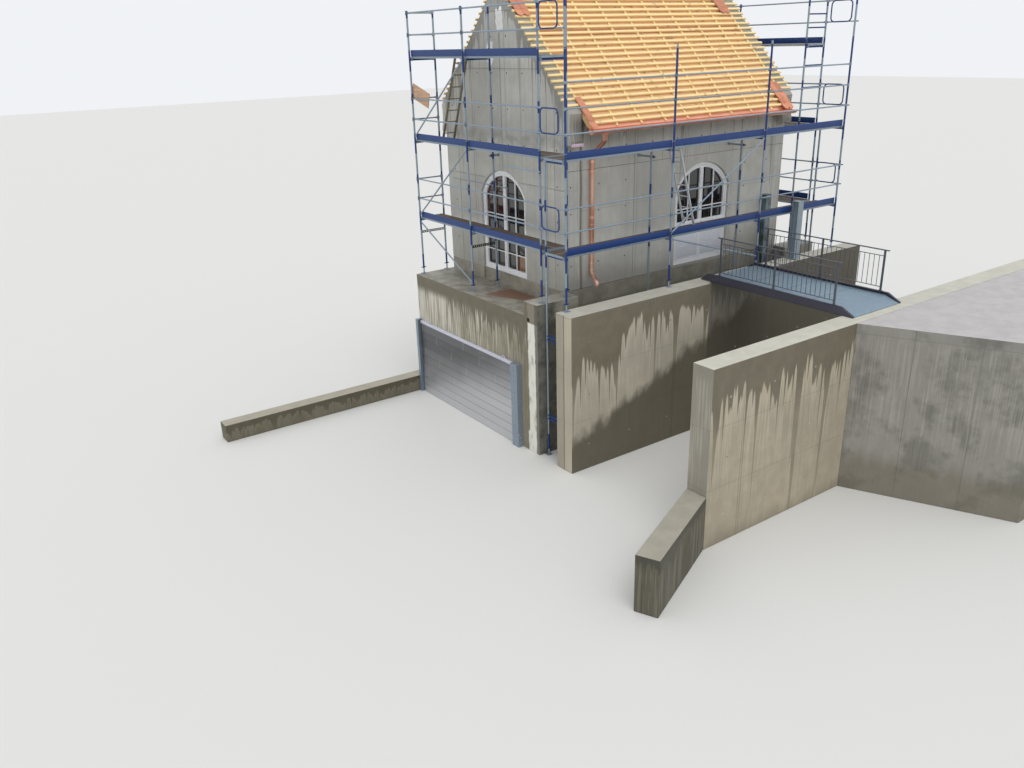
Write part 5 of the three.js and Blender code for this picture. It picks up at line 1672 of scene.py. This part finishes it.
def side_row(look):
    """Outer row along the side channel."""
    shell = Shell()
    for x, tall in zip(POSTS_X, (True, False, False, True)):
        lifts = LIFTS if tall else LIFTS[:2]
        post(shell, look, x, SIDE_Y, WALL_TOP + 0.0003, POST_TOP if tall else 9.0, lifts, (LIFTS[1], LIFTS[2] + 0.05))
    inner = SIDE_Y + look.tube + look.toe_thick / 2 + 0.002
    for lift, levels in zip(LIFTS, (GUARDS, (*GUARDS, 1.5))):
        for x0, x1 in zip(POSTS_X[:-1], POSTS_X[1:]):
            toe_board(shell, look, (x0 + 0.03, inner, lift), (x1 - 0.03, inner, lift))
            for z in levels:
                guard_rail(shell, look, (x0, SIDE_Y, lift + z), (x1, SIDE_Y, lift + z))
    brace(shell, (POSTS_X[1], SIDE_Y, LIFTS[0] + 0.06), (POSTS_X[2], SIDE_Y, LIFTS[1] - 0.06), Y)
    brace(shell, (POSTS_X[1], SIDE_Y, LIFTS[0] - 0.06), (POSTS_X[2], SIDE_Y, WALL_TOP + 0.25), Y)
    return shell


class POWERHOUSE_OT_scaffold_rows(Builder):
    """Erects the outer scaffold rows: posts, guard rails, toe boards, braces and couplers"""

    bl_idname = "powerhouse.scaffold_rows"
    bl_label = "Scaffold rows"

    def execute(self, context):
        look = context.scene.powerhouse_scaffold
        # The third finish is painted shade, for the punched cross bars that stand in shadow under the first deck.
        finishes = [tube_zinc(), blue_paint(), dark_hollow()]
        front, back = gable_row(look), gable_row(look)
        front.tubes((ROW_X - 0.045, 0.6, 6.6), (ROW_X - 0.045, 2.0, 6.6), look.rail, 0, 12, hollow=0.03)
        for z in (7.84, 8.38, 8.88, 9.28, 9.6):
            back.tubes((ROW_X, ROWS_Y[0], z), (INNER_X, ROWS_Y[0], z), look.rail, 1, 12)
        front.piece("scaffold_front_uprights", "blue_steel", finishes, ("scaffold_front_row",))
        back.mirrored(0, MID_X).piece("scaffold_back_uprights", "blue_steel", finishes, ("scaffold_back_row",))
        side_row(look).piece("scaffold_side_uprights", "blue_steel", finishes, ("scaffold_side_row",))
        return {"FINISHED"}


def aligned(start, end):
    """Both ends of a member as arrays, and the unit vector from one to the other."""
    start, end = np.array(start, float), np.array(end, float)
    return start, end, unit(end - start)[0]


def base_level(y):
    """Level on which a gable post stands: the pier top near the channel, the ledge elsewhere."""
    return (WALL_TOP if y < 1.1 else TERRACE) + 0.0003


def post(shell, look, x, y, foot, top, lifts, long_blue=None):
    """Upright: foot plate, screw jack with its nut, then tube in zinc with blue lengths round each lift."""
    r = look.tube
    shell.block((x, y, foot), (x, y, foot + 0.008), 0.14, 0.14, 0, Y, 0.012, 2)
    pitch = np.arange(0.02, 0.2, 0.012)
    thread = [(z + step, 0.0155 + rise) for z in pitch for step, rise in ((0, 0), (0.006, 0.0035))]
    shell.turned([(x, y, foot)], Z, [(0.006, 0.016), *thread, (0.205, 0.0155), (0.22, 0.0155)], 0, 10)
    shell.turned([(x, y, foot + 0.15)], Z, sleeve(0.025, 0.03, 0.006), 1, 12)
    shell.block((x - 0.075, y, foot + 0.165), (x + 0.075, y, foot + 0.165), 0.014, 0.02, 1, edge=0.005, steps=2)
    start = foot + 0.18
    spans = [(z - 0.35, z + 0.15) for z in lifts] + [(z + 0.88, z + 1.12) for z in lifts] + [(start, start + 0.35)]
    if long_blue:
        spans.append(long_blue)
    marks = sorted({start, top, *(z for span in spans for z in span if start < z < top)})
    for z0, z1 in zip(marks[:-1], marks[1:]):
        blue = any(a <= (z0 + z1) / 2 <= b for a, b in spans)
        shell.tubes((x, y, z0), (x, y, z1), r + 0.0003 * blue, int(blue), 14, hollow=0.08 * (z1 == top))
    shell.turned([(x, y, z + 0.12) for z in lifts if z + 0.12 < top], Z, sleeve(r, 0.013, 0.005), 0, 14)


def guard_rail(shell, look, start, end):
    """Guard rail between two uprights: a tube with flattened ends, in wedged couplers."""
    start, end, along = aligned(start, end)
    r = look.tube
    rings = both_ends([(0, 0.35, 1.25), (0.035, 0.4, 1.25), (0.07, 1, 1)])
    shell.bars(start + along * r, end - along * r, circle(look.rail, 12), 0, rings)
    near = [(-0.028, r + 0.001), (-0.026, r + 0.007), (-0.006, r + 0.009)]
    shell.turned([start, end], Z, near + [(-high, radius) for high, radius in near[::-1]], 0, 12)
    wedge = np.array([start, end]) + (-r - 0.009, 0, -0.05)
    shell.block(wedge, wedge + (0.003, 0, 0.1), 0.008, 0.022, 0, Y, 0.002)


def brace(shell, start, end, plane):
    """Diagonal brace with flattened ends pinned beside the uprights."""
    rings = both_ends([(0, 1.3, 0.3), (0.06, 1.3, 0.35), (0.11, 1, 1)])
    shell.bars(start, end, circle(0.019, 12), 0, rings, up=plane)
    shell.turned(np.array([start, end]) - np.array(plane) * 0.03, plane, sleeve(0.008, 0.06, 0.004), 0, 8)


def toe_board(shell, look, start, end):
    """Toe board: a painted board with eased edges and a steel clip at each end."""
    start, end, along = aligned(start, end)
    start[2] = end[2] = start[2] + look.toe_high / 2 + 0.001
    shell.block(start, end, look.toe_thick, look.toe_high - 0.002, 1, edge=0.005, steps=2)
    for a, b in ((start + along * 0.002, start + along * 0.062), (end - along * 0.062, end - along * 0.002)):
        shell.block(a, b, look.toe_thick + 0.004, look.toe_high * 0.82, 1, edge=0.004)


def punched_bar(shell, start, end):
    """Cross bar with a row of round holes: two flanges joined by webs that leave the holes open, in finish 2, which the
    scaffold rows give as painted shade.
    """
    start, end, along = aligned(start, end)
    rise = np.array([0, 0, 0.026])
    shell.block([start - rise, start + rise], [end - rise, end + rise], 0.034, 0.007, 2, edge=0.002)
    places = start + along * np.arange(0.05, np.linalg.norm(end - start), 0.062)[:, None]
    shell.block(places - rise, places + rise, 0.03, 0.024, 2, Y, 0.002)


def scaffold_deck(look, lift, seed, axis, sides, ends, posts):
    """Two planks side by side in each bay along an axis, on a transom at each pair of posts."""
    shell = Shell()
    rng = np.random.default_rng(seed)
    low, high = sides[0] + look.tube + 0.022, sides[1] - look.tube - 0.002
    wide = (high - low) / 2
    place = (lambda along, over, z: (along, over, z)) if axis == 0 else (lambda along, over, z: (over, along, z))
    for a, b in zip(ends[:-1], ends[1:]):
        for k in (0.5, 1.5):
            ends = (place(along, low + k * wide, lift) for along in (a + 0.004, b - 0.004))
            plank(shell, *ends, wide - 0.006, rng.uniform())
    z = lift - 0.073
    near, far = sides[0] + look.tube + 0.001, sides[1] - look.tube - 0.001
    for along in posts:
        shell.tubes(place(along, near, z), place(along, far, z), TRANSOM_RADIUS, 2, 12)
        for over in (near + 0.001, far - 0.057):
            shell.turned([place(along, over, z)], place(0.0, 1.0, 0.0), sleeve(0.025, 0.056, 0.006), 1, 12)
    return shell


def plank(shell, start, end, wide, tone):
    """One plank: boarded top between two pressed steel edges, with hooks at both ends."""
    start, end, along = aligned(start, end)
    side = np.cross(np.array(Z), along)
    top = start + along * 0.03 + (0, 0, -0.006), end - along * 0.03 + (0, 0, -0.006)
    shell.block(*top, wide - 0.03, 0.011, edge=0.002, tones=[tone])
    under = np.array([0, 0, -0.026])
    for sense in (-1, 1):
        edge = side * sense * (wide / 2 - 0.008) + under
        shell.block(start + edge, end + edge, 0.014, 0.048, 1, tones=[tone])
    across = side * (wide / 2 - 0.01)
    for hook in (start + along * 0.02 + under, end - along * 0.02 + under):
        shell.block(hook - across, hook + across, 0.03, 0.046, 1)


class POWERHOUSE_OT_scaffold_decks(Builder):
    """Lays the scaffold planks on their transoms"""

    bl_idname = "powerhouse.scaffold_decks"
    bl_label = "Scaffold decks"

    def execute(self, context):
        look = context.scene.powerhouse_scaffold
        lengthwise = timber("deck_planks_y", look.plank, (30.0, 1.2, 30.0), 0.85, 1.0, 0.6, 0.5)
        sideways = timber("deck_planks_x", look.plank, (1.2, 30.0, 30.0), 0.85, 1.0, 0.6, 0.5)
        gable_ends = (ROWS_Y[0] - 0.055, ROWS_Y[1], ROWS_Y[2] + 0.055)
        side_ends = (POSTS_X[0] - 0.055, *POSTS_X[1:3], POSTS_X[3] + 0.055)
        for index, lift in enumerate(LIFTS):
            shell = scaffold_deck(look, lift, 40 + index, 1, (ROW_X, INNER_X), gable_ends, ROWS_Y)
            for word, made in (("front", shell), ("back", shell.mirrored(0, MID_X))):
                name = "scaffold_%s_deck_%d" % (word, index + 1)
                made.piece(name + "_planks", "blue_steel", [lengthwise, tube_zinc(), blue_paint()], (name,))
        for index, lift in enumerate(LIFTS[:2]):
            name = "scaffold_side_deck_%d" % (index + 1)
            shell = scaffold_deck(look, lift, 50 + index, 0, (SIDE_Y, SLOT_Y), side_ends, POSTS_X)
            shell.piece(name + "_planks", "blue_steel", [sideways, tube_zinc(), blue_paint()], (name,))
        return {"FINISHED"}


def wall_tie(shell, start, end):
    """Wall tie: a tube with a ring plate at the wall and a coupler at the post."""
    start, end, along = aligned(start, end)
    shell.tubes(start - along * 0.06, end, 0.022, 0, 12, hollow=0.03)
    shell.turned([end], -along, ((-0.001, 0.04), (0.006, 0.04), (0.008, 0.03), (0.03, 0.026)), 0, 14)
    shell.turned([start - along * 0.03], along, sleeve(0.027, 0.056, 0.006), 1, 12)


class POWERHOUSE_OT_scaffold_inner(Builder):
    """Erects the inner scaffold posts and their ties to the walls"""

    bl_idname = "powerhouse.scaffold_inner"
    bl_label = "Inner scaffold posts"

    def execute(self, context):
        look = context.scene.powerhouse_scaffold
        finishes = [tube_zinc(), blue_paint()]
        for index, y in enumerate(ROWS_Y):
            for word in ("front", "back"):
                shell = Shell()
                post(shell, look, INNER_X, y, base_level(y), POST_TOP, LIFTS)
                if 1.0 < y < 6.0:
                    wall_tie(shell, (INNER_X, y + 0.05, TIE_Z), (HOUSE_X0, y + 0.05, TIE_Z))
                    if word == "front":
                        shell.tubes((INNER_X + 0.04, 3.0, 5.9), (INNER_X + 0.04, 5.5, 5.9), 0.012, 0, 10)
                name = "scaffold_%s_inner_%d" % (word, index + 1)
                made = shell if word == "front" else shell.mirrored(0, MID_X)
                made.piece(name + "_post", "galvanised", finishes, (name,))
        for bay, x in enumerate(POSTS_X):
            shell = Shell()
            post(shell, look, x, SLOT_Y, 0.0, 6.85, LIFTS[:1])
            if 0 < bay < 3:
                wall_tie(shell, (x + 0.05, SLOT_Y, TIE_Z), (x + 0.05, HOUSE_Y0, TIE_Z))
            if bay == 0:
                for z in (0.93, 2.88):
                    for rise in (0.0, 0.09):
                        shell.tubes((x, SLOT_Y, z + rise), (x, GUIDE_HIGH[1] + 0.004, z + rise), TRANSOM_RADIUS, 1, 12)
            name = "scaffold_side_inner_%d" % (bay + 1)
            shell.piece(name + "_post", "galvanised", finishes, (name,))
        return {"FINISHED"}


class POWERHOUSE_OT_ladders(Builder):
    """Sets the ladders between the decks and the loose board on the guard rail"""

    bl_idname = "powerhouse.ladders"
    bl_label = "Ladders and loose board"

    def execute(self, context):
        look = context.scene.powerhouse_scaffold
        pale = metal("ladder_paint", look.ladder, 0.4, 0.3, darker(look.ladder, 0.7), 0.15, 0.5)
        dull = metal("ladder_dull", "8a8472", 0.5, 0.2, "b3ac9a", 0.2, 0.5)
        ladders = (
            ("side_ladder", (3.52, 0.17, 6.85), (4.12, 0.17, 4.94), 0.34, Y, pale),
            ("gable_ladder", (0.14, 4.24, 8.85), (0.14, 5.0, 6.94), 0.32, X, dull),
        )
        for name, top, foot, wide, across, finish in ladders:
            shell = Shell()
            top, foot, across = np.array(top, float), np.array(foot, float), np.array(across, float)
            for share in (0.0, wide):
                shell.block(foot + across * share, top + across * share, 0.026, 0.06, 0, across, 0.005, 2)
            count = int(np.linalg.norm(top - foot) / 0.28)
            a = foot + (top - foot) * (np.arange(count)[:, None] + 0.6) / count
            shell.tubes(a, a + across * wide, 0.014, 0, 10)
            shell.piece(name, "galvanised", [finish])
        shell = Shell()
        x = ROW_X + look.tube + 0.014
        shell.block((x, 5.27, 7.86), (x, 6.07, 8.1), 0.018, 0.36, edge=0.003)
        plywood = timber("loose_board_wood", "cfa98a", (20.0, 1.5, 20.0), 0.7, 0.8, 0.3, 0.3)
        shell.piece("loose_plywood_board", "roof_timber", [plywood])
        return {"FINISHED"}


def lay_floor(look):
    """A wide level floor just under the foot of the model."""
    mesh = bpy.data.meshes.new("floor")
    far, low = 160.0, -0.002
    mesh.from_pydata([(-far, -far, low), (far, -far, low), (far, far, low), (-far, far, low)], [], [(0, 1, 2, 3)])
    m = Finish("floor_paint", 0.9)
    m.base = m.mix(m.noise(m.place, 0.2, 2), darker(look.floor, 0.99), look.floor)
    mesh.materials.append(m.close())
    floor = bpy.data.objects.new("floor", mesh)
    bpy.context.scene.collection.objects.link(floor)
    floor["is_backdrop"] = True


def set_light(look):
    """Even pale light from all round, and a soft key light."""
    world = bpy.data.worlds.new("soft_sky")
    world.use_nodes = True
    background = world.node_tree.nodes["Background"]
    background.inputs["Color"].default_value = (0.95, 0.97, 1.0, 1.0)
    background.inputs["Strength"].default_value = look.sky
    bpy.context.scene.world = world
    data = bpy.data.lights.new("key", "SUN")
    data.energy = look.sun
    data.angle = math.radians(40)
    key = bpy.data.objects.new("key", data)
    key.rotation_euler = Vector((-0.35, -0.8, 1.6)).to_track_quat("Z", "Y").to_euler()
    bpy.context.scene.collection.objects.link(key)


def set_camera(look):
    """Camera at the photograph's place: yaw and pitch of its line of sight, then a small roll about it."""
    data = bpy.data.cameras.new("camera")
    data.lens = look.lens
    data.sensor_width = 36.0
    data.clip_end = 500.0
    place, yaw, pitch, roll = (-14.044, -13.732, 9.195), 0.967429, 0.377703, -0.0315673
    ahead = Vector((math.cos(yaw) * math.cos(pitch), math.sin(yaw) * math.cos(pitch), -math.sin(pitch)))
    right = Vector((math.sin(yaw), -math.cos(yaw), 0.0))
    over = right.cross(ahead)
    across = right * math.cos(roll) + over * math.sin(roll)
    upward = over * math.cos(roll) - right * math.sin(roll)
    turn = Matrix((across, upward, -ahead)).transposed().to_4x4()
    turn.translation = Vector(place)
    camera = bpy.data.objects.new("camera", data)
    camera.matrix_world = turn
    scene = bpy.context.scene
    scene.collection.objects.link(camera)
    scene.camera = camera
    scene.view_settings.view_transform = "Standard"


class POWERHOUSE_OT_stage(Builder):
    """Sets the floor, the soft light and the camera"""

    bl_idname = "powerhouse.stage"
    bl_label = "Stage"

    def execute(self, context):
        look = context.scene.powerhouse_stage
        lay_floor(look)
        set_light(look)
        set_camera(look)
        return {"FINISHED"}


STEPS = (
    POWERHOUSE_OT_stage,
    POWERHOUSE_OT_channel_walls,
    POWERHOUSE_OT_substructure,
    POWERHOUSE_OT_house_walls,
    POWERHOUSE_OT_windows,
    POWERHOUSE_OT_roof,
    POWERHOUSE_OT_tiles,
    POWERHOUSE_OT_copper,
    POWERHOUSE_OT_stop_logs,
    POWERHOUSE_OT_footbridge,
    POWERHOUSE_OT_gate_posts,
    POWERHOUSE_OT_scaffold_rows,
    POWERHOUSE_OT_scaffold_decks,
    POWERHOUSE_OT_scaffold_inner,
    POWERHOUSE_OT_ladders,
)


class POWERHOUSE_PT_panel(Panel):
    """Lists the building steps"""

    bl_label = "Powerhouse"
    bl_idname = "POWERHOUSE_PT_panel"
    bl_space_type = "VIEW_3D"
    bl_region_type = "UI"
    bl_category = "Powerhouse"

    def draw(self, context):
        column = self.layout.column()
        for step in STEPS:
            column.operator(step.bl_idname)
        for name, group in GROUPS.items():
            box = self.layout.box()
            box.label(text=group.__doc__.rstrip("."))
            for key in group.__annotations__:
                box.prop(getattr(context.scene, name), key)


def register():
    for name, group in GROUPS.items():
        bpy.utils.register_class(group)
        setattr(bpy.types.Scene, name, PointerProperty(type=group))
    for step in STEPS:
        bpy.utils.register_class(step)
    bpy.utils.register_class(POWERHOUSE_PT_panel)


def unregister():
    bpy.utils.unregister_class(POWERHOUSE_PT_panel)
    for step in reversed(STEPS):
        bpy.utils.unregister_class(step)
    for name, group in GROUPS.items():
        delattr(bpy.types.Scene, name)
        bpy.utils.unregister_class(group)


def main():
    """Builds everything in order and works out the box round the shown objects."""
    register()
    for step in STEPS:
        space, name = step.bl_idname.split(".")
        getattr(getattr(bpy.ops, space), name)()
    now = [list(corner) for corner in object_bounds()]


if __name__ == "__main__":
    main()
